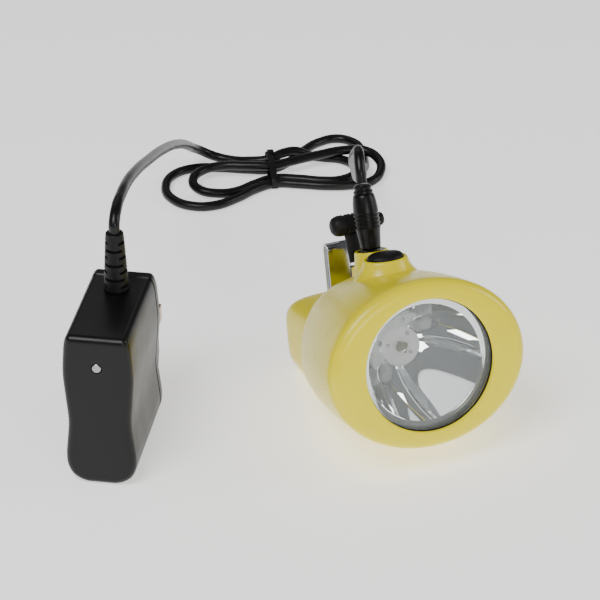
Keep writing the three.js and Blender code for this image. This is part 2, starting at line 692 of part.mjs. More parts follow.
function chargerRelief() {
  const top = CHARGER_TALL + RELIEF.long;
  const slot = RELIEF.long / (RELIEF.slots + 1.5);
  const flex = [];
  for (let i = 0; i < RELIEF.slots; i += 1) {
    const z = CHARGER_TALL + 2.2 + i * slot;
    const r = THREE.MathUtils.lerp(RELIEF.foot, RELIEF.top, (z - CHARGER_TALL) / RELIEF.long);
    flex.push([r, z], [r - 0.7, z + 0.2], [r - 0.7, z + 0.9], [r - 0.05, z + 1.1]);
  }
  const inner = CHARGER_TALL - CHARGER_WALL - GAP;
  return turned([[0, inner - 1.2], [4.5, inner - 1.2], [4.5, inner], [3, inner], [3, CHARGER_TALL + GAP],
    [RELIEF.foot, CHARGER_TALL + GAP], ...flex, [RELIEF.top, top], [0, top]], 14);
}

function chargerBoard() {
  const { left, thick, front, back, low, high } = CHARGER_BOARD;
  return block([left, left + thick], [front, back], [low, high]);
}

function capacitor({ y, z, radius, long }) {
  const can = turned([[0, 0], [radius, 0], [radius, long - 0.6], [radius - 0.5, long], [0, long]], 18);
  return across(can).translate(CHARGER_BOARD.left + CHARGER_BOARD.thick + GAP, y, z);
}

function transformer() {
  const { left, right, front, back, lower, upper } = CORE;
  const winding = rod(WINDING.radius, lower[1] - 1, upper[0] + 1, 20).translate(WINDING.x, WINDING.y, 0);
  const upperBar = block([left, right], [front, back], upper);
  return shape(block([left, right], [front, back], lower), { join: [winding, upperBar] });
}

// ---- the lead: chosen points, in the ground frame under the lens ----
// It rises out of the plug, turns over at once and drops behind the lamp to the near side of the hank.
const PLUG_RUN = [
  [0, 61.5, 76.4], [0.2, 63.4, 80.8], [1.5, 68, 84], [5, 78, 79], [12, 98, 65],
  [22, 120, 48], [34, 146, 29], [44, 166, 18], [49.5, 179, 14.3],
];
// It leaves the charger upright, leans over and drops in one long slope on to the far side of the hank.
const CHARGER_RUN = [
  [-91.35, 54.9, 79.6], [-91.2, 55.2, 82], [-89, 59.5, 85], [-84, 69.5, 84.5], [-78, 82, 81.5],
  [-70, 98, 76], [-57, 124, 65], [-41, 156, 50.5], [-24, 190, 33], [-9, 220, 14.8],
];

function hankSolid() {
  const { halfLong, half, waist } = HANK;
  const outline = new THREE.Shape();
  const bulb = halfLong - half;
  outline.moveTo(0, -waist);
  outline.quadraticCurveTo(bulb / 2, -waist, bulb, -half);
  outline.absarc(bulb, 0, half, -Math.PI / 2, Math.PI / 2, false);
  outline.quadraticCurveTo(bulb / 2, waist, 0, waist);
  outline.quadraticCurveTo(-bulb / 2, waist, -bulb, half);
  outline.absarc(-bulb, 0, half, Math.PI / 2, 1.5 * Math.PI, false);
  outline.quadraticCurveTo(-bulb / 2, -waist, 0, -waist);
  const options = { depth: HANK_HIGH - HANK_LOW, bevelEnabled: false, curveSegments: 10 };
  const slab = new THREE.ExtrudeGeometry(outline, options).rotateZ(HANK.turn);
  return closed(slab.translate(HANK.x, HANK.y, HANK_LOW));
}

function tieRing() {
  const inside = { y: HANK.waist + GAP + 0.4, low: HANK_LOW - GAP, high: HANK_HIGH + GAP };
  const outside = { y: inside.y + TIE_WIRE, low: inside.low - TIE_WIRE, high: inside.high + TIE_WIRE };
  const frame = (s) => outlineOf([[-s.y, s.low], [s.y, s.low], [s.y, s.high], [-s.y, s.high]]);
  const band = shape(acrossX(frame(outside), TIE_HALF_WIDTH), { cut: [acrossX(frame(inside), 3)] });
  return band.rotateZ(HANK.turn).translate(HANK.x, HANK.y, 0);
}

// ---- the lamp ----
head.rotation.x = -PITCH;
head.position.z = BEAM_HEIGHT;
piece("main_housing", mainHousing(), FINISH.yellow);
piece("rear_housing", rearHousing(), FINISH.yellow);
piece("housing_seal", housingSeal(), FINISH.blackRubber);
const sealInner = LENS_RADIUS - SEAL_WIDTH;
const lensSeal = ringOf(sealInner, LENS_RADIUS, SEAL_FRONT, SEAL_FRONT + SEAL_THICK, HOUSING_SIDES);
piece("lens_seal", alongBeam(lensSeal), FINISH.blackRubber);
piece("lens", alongBeam(rod(LENS_RADIUS, LENS_FRONT, LENS_FRONT + LENS_THICK, HOUSING_SIDES)), FINISH.clear);
piece("reflector", reflector(), FINISH.chrome);
piece("led_board", alongBeam(rod(LED_BOARD_RADIUS, BOARD_FRONT, BOARD_FRONT + LED_BOARD_THICK, 36)),
  FINISH.whiteBoard);
piece("main_led", mainLed(), FINISH.phosphor);
piece("side_led_upper", sideLed(SIDE_LEDS.upper), FINISH.clear);
piece("side_led_lower", sideLed(SIDE_LEDS.lower), FINISH.clear);
piece("heat_sink", alongBeam(rod(SINK_RADIUS, SINK_FRONT, SINK_FRONT + SINK_THICK, 36)), FINISH.aluminium);
const driver = DRIVER_BOARD;
piece("driver_board", block([-driver.halfWidth, driver.halfWidth], [driver.front, DRIVER_BACK],
  [driver.low, driver.low + driver.thick]), FINISH.circuit);
const cellSide = [-CELL.halfWidth, CELL.halfWidth];
const lowerTop = CELL.top - CELL.thick - GAP;
piece("battery_cell_upper", block(cellSide, [CELL.front, CELL.back], [CELL.top - CELL.thick, CELL.top]),
  FINISH.cellWrap);
piece("battery_cell_lower", block(cellSide, [CELL.front, CELL.back], [lowerTop - CELL.thick, lowerTop]),
  FINISH.cellWrap);
const guard = PROTECTION_BOARD;
const guardFront = CELL.back + 2 * GAP;
piece("protection_board", block([-guard.halfWidth, guard.halfWidth], [guardFront, guardFront + guard.thick],
  [guard.low, guard.high]), FINISH.circuit);
const pad = BATTERY_PAD;
piece("battery_pad", block([-pad.halfWidth, pad.halfWidth], [pad.front, pad.back],
  [CELL.top + GAP, pad.top]), FINISH.foam);
piece("battery_lead_red", leadWire(LEAD_WIRE.x), FINISH.redWire);
piece("battery_lead_black", leadWire(-LEAD_WIRE.x), FINISH.cordVinyl);
piece("switch_boot", switchBoot(), FINISH.blackRubber);
piece("micro_switch", microSwitch(), FINISH.blackPlastic);
piece("switch_board", switchBoard(), FINISH.circuit);
piece("clip", clipStrip(), FINISH.steel);
RIVET.rows.forEach((up, i) => {
  const rivet = screw(RIVET, BOX_END + 2 * GAP + CLIP.thick, BOX_BACK_WALL + GAP + CLIP.thick);
  piece(`clip_rivet_${i + 1}`, rivet.translate(0, 0, up), FINISH.steel);
});
const screwHead = BOX_END - CASE_SCREW.headThick;
const screwLong = screwHead - BARREL_END + WALL + 1;
CASE_SCREW.rows.flatMap((up) => [[-CASE_SCREW.x, up], [CASE_SCREW.x, up]]).forEach(([x, up], i) => {
  const fixing = screw(CASE_SCREW, screwHead, screwLong).translate(x, 0, up);
  piece(`housing_screw_${i + 1}`, fixing, FINISH.steel);
});
piece("dust_strap_anchor", strapAnchor(), FINISH.blackRubber);
piece("dust_plug", dustPlug(), FINISH.blackRubber);
const strapHead = BARREL_END + 2 * GAP + STRAP.thick;
piece("strap_screw", screw(STRAP_SCREW, strapHead, STRAP_SCREW.long).translate(STRAP.x, 0, STRAP_SCREW.up),
  FINISH.brass);

socketFrame.position.set(0, SOCKET.back, SOCKET.up);
socketFrame.rotation.x = -SOCKET.lean;
head.add(socketFrame);
const socketProfile = [
  [0, -SOCKET_DEEP], [SOCKET_RADIUS, -SOCKET_DEEP], [SOCKET_RADIUS, -GAP],
  [SOCKET_BORE, -GAP], [SOCKET_BORE, -SOCKET_BORE_DEEP], [0, -SOCKET_BORE_DEEP],
];
piece("charge_socket", turned(socketProfile, 28), FINISH.blackPlastic, socketFrame);
piece("socket_pin", rod(SOCKET_PIN, -SOCKET_BORE_DEEP + GAP, -2.5, 14), FINISH.brass, socketFrame);
const { outer, inner, long } = PLUG_BARREL;
piece("plug_barrel", ringOf(inner, outer, -GAP - long, -GAP, 20), FINISH.chrome, socketFrame);
piece("plug_insulator", ringOf(SOCKET_PIN + GAP, inner - GAP, -GAP - long, -GAP, 16), FINISH.blackPlastic,
  socketFrame);
piece("plug_body", plugBody(), FINISH.blackPlastic, socketFrame);
piece("plug_strain_relief", plugRelief(), FINISH.blackPlastic, socketFrame);

// ---- the charging lead ----
piece("cord_plug_run", wire(PLUG_RUN, CORD, 26), FINISH.cordVinyl, object);
piece("cord_charger_run", wire(CHARGER_RUN, CORD, 28), FINISH.cordVinyl, object);
piece("cord_hank", hankSolid(), FINISH.cordVinyl, object);
piece("cord_tie", tieRing(), FINISH.blackRubber, object);

charger.position.set(CHARGER.x, CHARGER.y, 0);
charger.rotation.z = CHARGER.turn;
piece("charger_case", chargerCase(), FINISH.blackPlastic, charger);
piece("charger_cover", chargerCover(), FINISH.blackPlastic, charger);
piece("pin_block", pinBlock(), FINISH.blackPlastic, charger);
const bladeRoot = BLOCK_BACK + GAP;
for (const [name, x] of [["blade_pin_left", -BLADE.x], ["blade_pin_right", BLADE.x]]) {
  const blade = block([x - BLADE.thick / 2, x + BLADE.thick / 2], [bladeRoot, bladeRoot + BLADE.long],
    [BLADE.z - BLADE.wide / 2, BLADE.z + BLADE.wide / 2]);
  piece(name, blade, FINISH.brass, charger);
}
piece("charger_strain_relief", chargerRelief().translate(0, RELIEF.back, 0), FINISH.blackPlastic, charger);
const lightRod = alongBeam(rod(INDICATOR.radius, -0.2, INDICATOR.long, 18));
piece("indicator_light", lightRod.translate(0, 0, CHARGER_TALL - INDICATOR.down), FINISH.clear, charger);
piece("charger_board", chargerBoard(), FINISH.circuit, charger);
piece("transformer", transformer(), FINISH.copper, charger);
CAPACITORS.forEach((size, i) => piece(`capacitor_${i + 1}`, capacitor(size), FINISH.metalCan, charger));
COVER_SCREW.rows.forEach((z, i) => {
  const fixing = screw(COVER_SCREW, COVER_BACK - COVER_SCREW.headThick, COVER_SCREW.long).translate(0, 0, z);
  piece(`cover_screw_${i + 1}`, fixing, FINISH.steel, charger);
});

// ---- the origin goes under the middle of the lamp itself ----
object.add(head, charger);
object.updateMatrixWorld(true);
const lampBox = new THREE.Box3();
for (const mesh of ownPieces) lampBox.expandByObject(mesh, true);
const middle = lampBox.getCenter(new THREE.Vector3());
const whole = new THREE.Group();
object.position.set(-middle.x, -middle.y, -lampBox.min.z);
whole.add(object);

export default whole;
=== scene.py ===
"""Cordless miner's cap lamp with its charging lead and wall charger.

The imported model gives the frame: every piece here is in metres and in that frame, and rides on one of
its bodies. Sizes in the classes are in millimetres, as on a drawing, and are turned to metres where a mesh
is made.
"""

import logging
import math
from dataclasses import dataclass, field
from enum import Enum
from typing import Callable, Sequence

import bmesh
import bpy
from mathutils import Matrix, Vector


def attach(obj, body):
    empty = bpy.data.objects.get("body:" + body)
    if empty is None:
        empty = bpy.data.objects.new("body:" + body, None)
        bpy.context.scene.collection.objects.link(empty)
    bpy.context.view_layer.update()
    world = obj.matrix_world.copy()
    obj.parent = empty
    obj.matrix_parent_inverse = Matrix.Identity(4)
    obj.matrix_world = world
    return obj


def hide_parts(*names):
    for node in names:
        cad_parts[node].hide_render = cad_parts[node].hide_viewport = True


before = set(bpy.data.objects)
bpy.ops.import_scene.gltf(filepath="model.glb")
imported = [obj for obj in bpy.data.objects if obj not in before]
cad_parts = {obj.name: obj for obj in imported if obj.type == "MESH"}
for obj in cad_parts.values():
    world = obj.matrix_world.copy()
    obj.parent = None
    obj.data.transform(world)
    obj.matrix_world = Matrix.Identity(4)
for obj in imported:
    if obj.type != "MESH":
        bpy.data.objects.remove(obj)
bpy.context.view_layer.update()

log = logging.getLogger("cap_lamp")
logging.basicConfig(level=logging.INFO, format="%(name)s: %(message)s")

MM = 0.001
Row = list[Vector]
Profile = Sequence[tuple[float, float]]


class Body(Enum):
    """The moving bodies that a piece can ride on."""

    LAMP = "lamp"
    SWITCH = "switch_button"
    DUST_CAP = "dust_plug_body"
    LEAD = "charging_lead"


# ---------------------------------------------------------------- places


@dataclass(frozen=True)
class Place:
    """A sub-assembly's own frame, in millimetres, inside the row's frame."""

    origin: Vector
    turn: Matrix

    def at(self, x: float, y: float, z: float) -> Vector:
        """Returns a point of this frame in metres in the row's frame."""
        return (self.origin + self.turn @ Vector((x, y, z))) * MM


LENS_BACK = -39.697  # the lens-ground frame's origin, along Y in the row's frame
PITCH = math.radians(15.5)
BEAM_HEIGHT = 38.0

GROUND = Place(Vector((0, LENS_BACK, 0)), Matrix.Identity(3))
HEAD = Place(Vector((0, LENS_BACK, BEAM_HEIGHT)), Matrix.Rotation(-PITCH, 3, "X"))
SOCKET_LEAN = PITCH + math.radians(7)
SOCKET = Place(HEAD.at(0, 46, 30.2) / MM, Matrix.Rotation(-SOCKET_LEAN, 3, "X"))
CHARGER = Place(Vector((-108, 26.4 + LENS_BACK, 0)), Matrix.Rotation(math.radians(-30.3), 3, "Z"))
HANK = Place(Vector((21.5, 206 + LENS_BACK, 0)), Matrix.Rotation(math.radians(-12.6), 3, "Z"))


# ---------------------------------------------------------------- modelling


def start_mesh(name: str) -> None:
    """Leaves edit mode and deselects everything, so that the next operator acts on its own piece.

    Args:
        name: the piece about to be made, for the log.
    """
    if bpy.context.object and bpy.context.object.mode != "OBJECT":
        bpy.ops.object.mode_set(mode="OBJECT")
    bpy.ops.object.select_all(action="DESELECT")
    log.debug("modelling %s", name)


def only(piece: bpy.types.Object) -> None:
    """Selects one piece and makes it active."""
    start_mesh(piece.name)
    piece.select_set(True)
    bpy.context.view_layer.objects.active = piece


def smoothed(piece: bpy.types.Object, angle: float = 32) -> bpy.types.Object:
    """Shades a piece smooth, apart from edges sharper than an angle in degrees, and returns it."""
    only(piece)
    bpy.ops.object.shade_smooth_by_angle(angle=math.radians(angle))
    return piece


def loft(name: str, rows: Sequence[Row], ends: bool = True, ring: bool = False,
         angle: float = 32) -> bpy.types.Object:
    """Extrudes one loop of edges from row to row, as a skin over stations.

    Args:
        name: the piece's name.
        rows: loops of points in metres, each with the same number of points.
        ends: whether the first and last loops are filled.
        ring: whether the last row lies on the first and is merged with it.
        angle: the sharpest edge that is shaded smooth, in degrees.

    Returns:
        The new piece.
    """
    start_mesh(name)
    bpy.ops.mesh.primitive_circle_add(vertices=len(rows[0]), radius=0.01)
    piece = bpy.context.object
    piece.name = piece.data.name = name
    bpy.ops.object.mode_set(mode="EDIT")
    mesh = bmesh.from_edit_mesh(piece.data)
    slot = mesh.verts.layers.int.new("slot")
    station = mesh.verts.layers.int.new("station")
    mesh.verts.ensure_lookup_table()
    for i, vertex in enumerate(mesh.verts):
        vertex[slot] = i
        vertex[station] = 0
        vertex.co = rows[0][i]
    bmesh.update_edit_mesh(piece.data)
    for count, row in enumerate(rows[1:], start=1):
        bpy.ops.mesh.extrude_edges_move()
        mesh = bmesh.from_edit_mesh(piece.data)
        slot, station = mesh.verts.layers.int["slot"], mesh.verts.layers.int["station"]
        for vertex in mesh.verts:
            if vertex.select:
                vertex[station] = count
                vertex.co = row[vertex[slot]]
        bmesh.update_edit_mesh(piece.data)
    if ends and not ring:
        for count in (0, len(rows) - 1):
            fill_station(piece, count)
    bpy.ops.mesh.select_all(action="SELECT")
    bpy.ops.mesh.remove_doubles(threshold=2e-6)
    bpy.ops.mesh.normals_make_consistent(inside=False)
    bpy.ops.object.mode_set(mode="OBJECT")
    return smoothed(piece, angle)


def fill_station(piece: bpy.types.Object, count: int) -> None:
    """Closes a skin with one face across a row.

    Args:
        piece: the object in edit mode.
        count: the row's number.
    """
    bpy.ops.mesh.select_all(action="DESELECT")
    mesh = bmesh.from_edit_mesh(piece.data)
    station = mesh.verts.layers.int["station"]
    for vertex in mesh.verts:
        if vertex[station] == count:
            vertex.select = True
    mesh.select_flush(True)
    bmesh.update_edit_mesh(piece.data)
    bpy.ops.mesh.edge_face_add()


class Axis(Enum):
    """The axis of its frame that a turned piece is turned about."""

    X = "x"
    Y = "y"
    Z = "z"


def turned(
    name: str,
    place: Place,
    axis: Axis,
    centre: tuple[float, float],
    profile: Profile,
    sides: int = 64,
    ring: bool = False,
    radius_at: Callable[[float, float, int], float] | None = None,
    angle: float = 32,
) -> bpy.types.Object:
    """Turns a profile about an axis of a frame.

    Args:
        name: the piece's name.
        place: the frame that it is drawn in.
        axis: the axis that it is turned about.
        centre: where the axis stands in the other two directions, in millimetres.
        profile: pairs of radius and distance along the axis, in millimetres.
        sides: how many points there are round it.
        ring: whether the profile ends where it starts.
        radius_at: changes a radius by the angle round the axis and the profile's step.
        angle: the sharpest edge that is shaded smooth, in degrees.

    Returns:
        The new piece.
    """
    u, v = centre
    rows = []
    for step, (radius, along) in enumerate(profile):
        row = []
        for i in range(sides):
            turn = 2 * math.pi * i / sides
            r = radius_at(radius, turn, step) if radius_at else radius
            a, b = u + r * math.cos(turn), v + r * math.sin(turn)
            row.append(
                place.at(along, a, b) if axis is Axis.X
                else place.at(a, along, b) if axis is Axis.Y
                else place.at(a, b, along)
            )
        rows.append(row)
    return loft(name, rows, ends=not ring, ring=ring, angle=angle)


def oval_row(place: Place, along: float, half: float, up: float, down: float,
             square: float = 2, middle: float = 0, inset: float = 0, sides: int = 96) -> Row:
    """One station of the head: a rounded outline whose halves may differ in height.

    Args:
        place: the frame that it is drawn in.
        along: the distance back along the beam.
        half: half its width.
        up: its height above the middle.
        down: its depth below the middle.
        square: 2 for an ellipse, more for a squarer outline.
        middle: the height of its widest line.
        inset: how far inside the outline the points lie.
        sides: how many points there are round it.

    Returns:
        The points, in metres.
    """
    row = []
    for i in range(sides):
        turn = 2 * math.pi * i / sides
        c, s = math.cos(turn), math.sin(turn)
        x = (half - inset) * math.copysign(abs(c) ** (2 / square), c)
        z = middle + ((up if s > 0 else down) - inset) * math.copysign(abs(s) ** (2 / square), s)
        row.append(place.at(x, along, z))
    return row


def ribbon(name: str, place: Place, path: Sequence[tuple[float, float]], x: float, width: float,
           thick: float, ring: bool = False, ease: float = 0.25) -> bpy.types.Object:
    """Runs a flat strip with eased edges along a path in its frame's Y and Z.

    Args:
        name: the piece's name.
        place: the frame that it is drawn in.
        path: pairs of y and z that the strip's middle follows.
        x: the middle of the strip across the path.
        width: the strip's width.
        thick: its thickness.
        ring: whether the path ends where it starts.
        ease: how far its edges are rounded.

    Returns:
        The new piece.
    """
    w, t, e = width / 2, thick / 2, min(ease, thick * 0.45)
    section = [(-w + e, -t), (w - e, -t), (w - e * 0.3, -t + e * 0.3), (w, -t + e), (w, t - e),
               (w - e * 0.3, t - e * 0.3),
               (w - e, t), (-w + e, t), (-w + e * 0.3, t - e * 0.3), (-w, t - e), (-w, -t + e),
               (-w + e * 0.3, -t + e * 0.3)]
    points = [Vector(p) for p in path]
    rows = []
    for i, point in enumerate(points):
        last = len(points) - 1
        before = points[i - 1] if i else (points[-2] if ring else point)
        after = points[i + 1] if i < last else (points[1] if ring else point)
        along = (after - before).normalized()
        normal = Vector((-along.y, along.x))
        rows.append([place.at(x + a, point.x + normal.x * b, point.y + normal.y * b) for a, b in section])
    return loft(name, rows, ends=not ring, ring=ring, angle=40)


def cut_with(piece: bpy.types.Object, cutters: Sequence[bpy.types.Object]) -> bpy.types.Object:
    """Cuts other solids out of a piece, applies the cuts and removes the solids.

    Args:
        piece: the piece that is cut.
        cutters: the solids that are taken out of it.

    Returns:
        The same piece.
    """
    for cutter in cutters:
        only(piece)
        cut = piece.modifiers.new("cut", "BOOLEAN")
        cut.operation = "DIFFERENCE"
        cut.object = cutter
        cut.solver = "EXACT"
        bpy.ops.object.modifier_apply(modifier=cut.name)
        bpy.data.objects.remove(cutter)
    return smoothed(piece)


def joined(name: str, parts: Sequence[bpy.types.Object]) -> bpy.types.Object:
    """Makes one moulding of several solids.

    Args:
        name: the piece's name.
        parts: the solids, the first of which is kept.

    Returns:
        The joined piece.
    """
    start_mesh(name)
    for part in parts:
        part.select_set(True)
    bpy.context.view_layer.objects.active = parts[0]
    bpy.ops.object.join()
    whole = bpy.context.object
    whole.name = whole.data.name = name
    return whole


def eased_copy(node: str, name: str, width: float) -> bpy.types.Object:
    """Copies a plain solid, merges its points and rounds its edges.

    Args:
        node: the solid's node.
        name: the new piece's name.
        width: the rounding, in millimetres.

    Returns:
        The new piece, in the node's place.
    """
    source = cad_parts[node]
    copy = bpy.data.objects.new(name, source.data.copy())
    bpy.context.scene.collection.objects.link(copy)
    copy.data.materials.clear()
    only(copy)
    bpy.ops.object.mode_set(mode="EDIT")
    bpy.ops.mesh.select_all(action="SELECT")
    bpy.ops.mesh.remove_doubles(threshold=5e-6)
    bpy.ops.mesh.dissolve_limited(angle_limit=math.radians(1))
    bpy.ops.object.mode_set(mode="OBJECT")
    bevel = copy.modifiers.new("edge", "BEVEL")
    bevel.width = width * MM
    bevel.segments = 2
    bevel.limit_method = "ANGLE"
    bevel.angle_limit = math.radians(35)
    bevel.use_clamp_overlap = True
    bpy.ops.object.modifier_apply(modifier=bevel.name)
    return smoothed(copy)


# ---------------------------------------------------------------- finishes


def linear(hex_colour: str) -> tuple[float, float, float, float]:
    """Returns an sRGB hex colour as linear red, green and blue, with an alpha of 1."""
    parts = [int(hex_colour[i:i + 2], 16) / 255 for i in (0, 2, 4)]
    r, g, b = [c / 12.92 if c <= 0.04045 else ((c + 0.055) / 1.055) ** 2.4 for c in parts]
    return r, g, b, 1.0


def add_node(tree: bpy.types.NodeTree, kind: str, settings: dict, links: dict) -> bpy.types.Node:
    """Adds a node with its settings and links.

    Args:
        tree: the material's tree.
        kind: the node's type.
        settings: values by property name, or by input name or number.
        links: an output socket for each input name or number.

    Returns:
        The node.
    """
    node = tree.nodes.new(kind)
    for key, value in settings.items():
        if isinstance(key, str) and hasattr(node, key):
            setattr(node, key, value)
        else:
            node.inputs[key].default_value = value
    for key, output in links.items():
        tree.links.new(output, node.inputs[key])
    return node


@dataclass(frozen=True)
class Finish:
    """What every finish shares: two close colours, a grain and a gloss that both vary over the surface."""

    name: str
    colour: str
    other: str
    roughness: float
    gloss_swing: float = 0.06  # how far the roughness strays
    metallic: float = 0.0
    ior: float = 1.5
    grain_mm: float = 0.4  # size of the fine relief
    relief: float = 0.08
    cloud_mm: float = 9.0  # size of the slow changes of colour and gloss
    coat: float = 0.0
    specular: float = 0.5  # strength of the shine of what isn't metal
    alpha: float = 1.0
    glow: float = 0.0

    def material(self) -> bpy.types.Material:
        """Returns the finish as a node material."""
        known = bpy.data.materials.get(self.name)
        if known:
            return known
        made = bpy.data.materials.new(self.name)
        made.use_nodes = True
        tree = made.node_tree
        tree.nodes.clear()
        where = add_node(tree, "ShaderNodeTexCoord", {}, {}).outputs["Object"]
        cloud = self.cloud(tree, where)
        tint = add_node(tree, "ShaderNodeMix",
                        {"data_type": "RGBA", 6: linear(self.colour), 7: linear(self.other)},
                        {0: cloud}).outputs[2]
        gloss = add_node(tree, "ShaderNodeMapRange",
                         {"To Min": max(self.roughness - self.gloss_swing, 0.005),
                          "To Max": self.roughness + self.gloss_swing}, {"Value": cloud}).outputs["Result"]
        bump = add_node(tree, "ShaderNodeBump", {"Strength": self.relief, "Distance": 0.05 * MM},
                        {"Height": self.grain(tree, where)}).outputs["Normal"]
        shader = add_node(tree, "ShaderNodeBsdfPrincipled",
                          {"Metallic": self.metallic, "IOR": self.ior, "Specular IOR Level": self.specular,
                           "Coat Weight": self.coat,
                           "Coat Roughness": 0.05, "Alpha": self.alpha},
                          {"Base Color": tint, "Roughness": gloss, "Normal": bump})
        if self.glow:
            shader.inputs["Emission Color"].default_value = linear(self.colour)
            shader.inputs["Emission Strength"].default_value = self.glow
        add_node(tree, "ShaderNodeOutputMaterial", {}, {"Surface": shader.outputs["BSDF"]})
        made.diffuse_color = linear(self.colour)
        return made

    def cloud(self, tree: bpy.types.NodeTree, where: bpy.types.NodeSocket) -> bpy.types.NodeSocket:
        """Returns slow, soft patches, as uneven cooling or handling leaves."""
        return add_node(tree, "ShaderNodeTexNoise", {"Scale": 1 / (self.cloud_mm * MM), "Detail": 3.0},
                        {"Vector": where}).outputs["Fac"]

    def grain(self, tree: bpy.types.NodeTree, where: bpy.types.NodeSocket) -> bpy.types.NodeSocket:
        """Returns the fine relief of the surface."""
        return add_node(tree, "ShaderNodeTexNoise", {"Scale": 1 / (self.grain_mm * MM), "Detail": 4.0},
                        {"Vector": where}).outputs["Fac"]


@dataclass(frozen=True)
class BrushedFinish(Finish):
    """Metal polished along one direction: its grain is stretched into long fine lines."""

    stretch: tuple[float, float, float] = (1, 14, 1)

    def grain(self, tree: bpy.types.NodeTree, where: bpy.types.NodeSocket) -> bpy.types.NodeSocket:
        """Returns fine lines, as the polishing belt leaves them."""
        lines = add_node(tree, "ShaderNodeMapping", {"Scale": [1 / s for s in self.stretch]},
                         {"Vector": where})
        return add_node(tree, "ShaderNodeTexNoise", {"Scale": 1 / (self.grain_mm * MM), "Detail": 6.0},
                        {"Vector": lines.outputs["Vector"]}).outputs["Fac"]


@dataclass(frozen=True)
class CellularFinish(Finish):
    """Fine pits or cells, as in spark-eroded moulds, cast rubber, boards and foam."""

    def grain(self, tree: bpy.types.NodeTree, where: bpy.types.NodeSocket) -> bpy.types.NodeSocket:
        """Returns small rounded cells."""
        return add_node(tree, "ShaderNodeTexVoronoi", {"Scale": 1 / (self.grain_mm * MM)},
                        {"Vector": where}).outputs["Distance"]


# Polished-tool ABS: a deep even yellow under a clear gloss, with the faintest ripple.
YELLOW_ABS = Finish("moulded_yellow_abs", "F6E600", "F0DC00", 0.26, 0.05, ior=1.53, grain_mm=1.4,
                    relief=0.03, specular=0.35)
# Spark-eroded ABS: satin black with a fine pitted skin, which greys its highlights.
BLACK_ABS = CellularFinish("satin_black_abs", "0A0A0A", "101010", 0.34, 0.06, ior=1.53, grain_mm=0.35,
                           relief=0.12, specular=0.25)
# Compression-moulded rubber: dull, with broad soft highlights and a trace of dust.
BLACK_RUBBER = CellularFinish("moulded_black_rubber", "0E0E0E", "161616", 0.5, 0.08, grain_mm=0.25,
                              relief=0.12, specular=0.25)
# Extruded PVC: shiny, with slow waves from the die.
CORD_VINYL = Finish("extruded_black_pvc", "0A0A0A", "111111", 0.34, 0.06, ior=1.53, grain_mm=1.2,
                    relief=0.08, cloud_mm=14, specular=0.3)
# Vacuum-metallised ABS: a clean cool mirror.
MIRROR_COAT = Finish("vacuum_metallised_mirror", "EDEFF0", "E6E9EA", 0.025, 0.01, 1.0, grain_mm=6,
                     relief=0.006)
# Nickel plate over brass: bright and slightly warm.
NICKEL = Finish("bright_nickel_plate", "D9D6CE", "CFCCC4", 0.1, 0.03, 1.0, grain_mm=0.5, relief=0.02)
# Hardened strip, belt polished along its length.
SPRING_STEEL = BrushedFinish("polished_spring_steel", "C9CCD0", "B4B7BB", 0.14, 0.05, 1.0, grain_mm=0.5,
                             relief=0.12)
# Turned brass, lightly dulled.
BRASS = BrushedFinish("turned_brass", "C99A4E", "B58640", 0.24, 0.06, 1.0, grain_mm=0.4, relief=0.1,
                      stretch=(6, 1, 1))
# Clear polycarbonate, hard coated: almost nothing but its own faint shine.
CLEAR_PC = Finish("clear_polycarbonate", "F4F8F8", "EEF3F3", 0.03, 0.01, ior=1.585, grain_mm=8, relief=0.01,
                  alpha=0.08)
# Clear epoxy of the small lights, cloudy enough to show its dome.
CLEAR_EPOXY = Finish("cast_clear_epoxy", "DDE2E2", "C2C8C8", 0.08, 0.03, ior=1.54, grain_mm=2, relief=0.05,
                     alpha=0.45)
# White solder mask on an aluminium board.
WHITE_MASK = CellularFinish("white_solder_mask", "E6E7E4", "DADBD8", 0.4, 0.06, grain_mm=0.3, relief=0.06)
# Tin solder, reflowed.
SOLDER = Finish("reflowed_solder", "B9BCBE", "8E9193", 0.3, 0.1, 1.0, grain_mm=0.4, relief=0.3)
# Phosphor under silicone: olive in daylight when it is off.
PHOSPHOR = Finish("led_phosphor", "6E7440", "565E34", 0.3, 0.08, grain_mm=0.3, relief=0.1, coat=0.6)
# Green solder mask over woven glass.
GREEN_MASK = CellularFinish("green_solder_mask", "1D5A33", "174A2A", 0.4, 0.08, grain_mm=0.6, relief=0.15)
# Rolled aluminium sheet.
ALUMINIUM = BrushedFinish("rolled_aluminium", "B9BDC0", "A6AAAD", 0.34, 0.07, 1.0, grain_mm=0.4, relief=0.15)
# Shrink film over the cells.
CELL_FILM = Finish("blue_shrink_film", "2B5AA0", "244D8A", 0.35, 0.08, grain_mm=2.5, relief=0.2)
# Soft open foam.
FOAM = CellularFinish("open_cell_foam", "3A3A3A", "2E2E2E", 0.9, 0.05, grain_mm=0.7, relief=0.6)
# Red silicone wire.
RED_WIRE = Finish("red_wire_insulation", "B01818", "9A1212", 0.45, 0.08, grain_mm=0.8, relief=0.1)
# Enamelled copper winding, in fine turns.
COPPER = BrushedFinish("enamelled_copper", "B4683A", "9A5630", 0.35, 0.08, 1.0, grain_mm=0.3, relief=0.4,
                       stretch=(12, 12, 1))

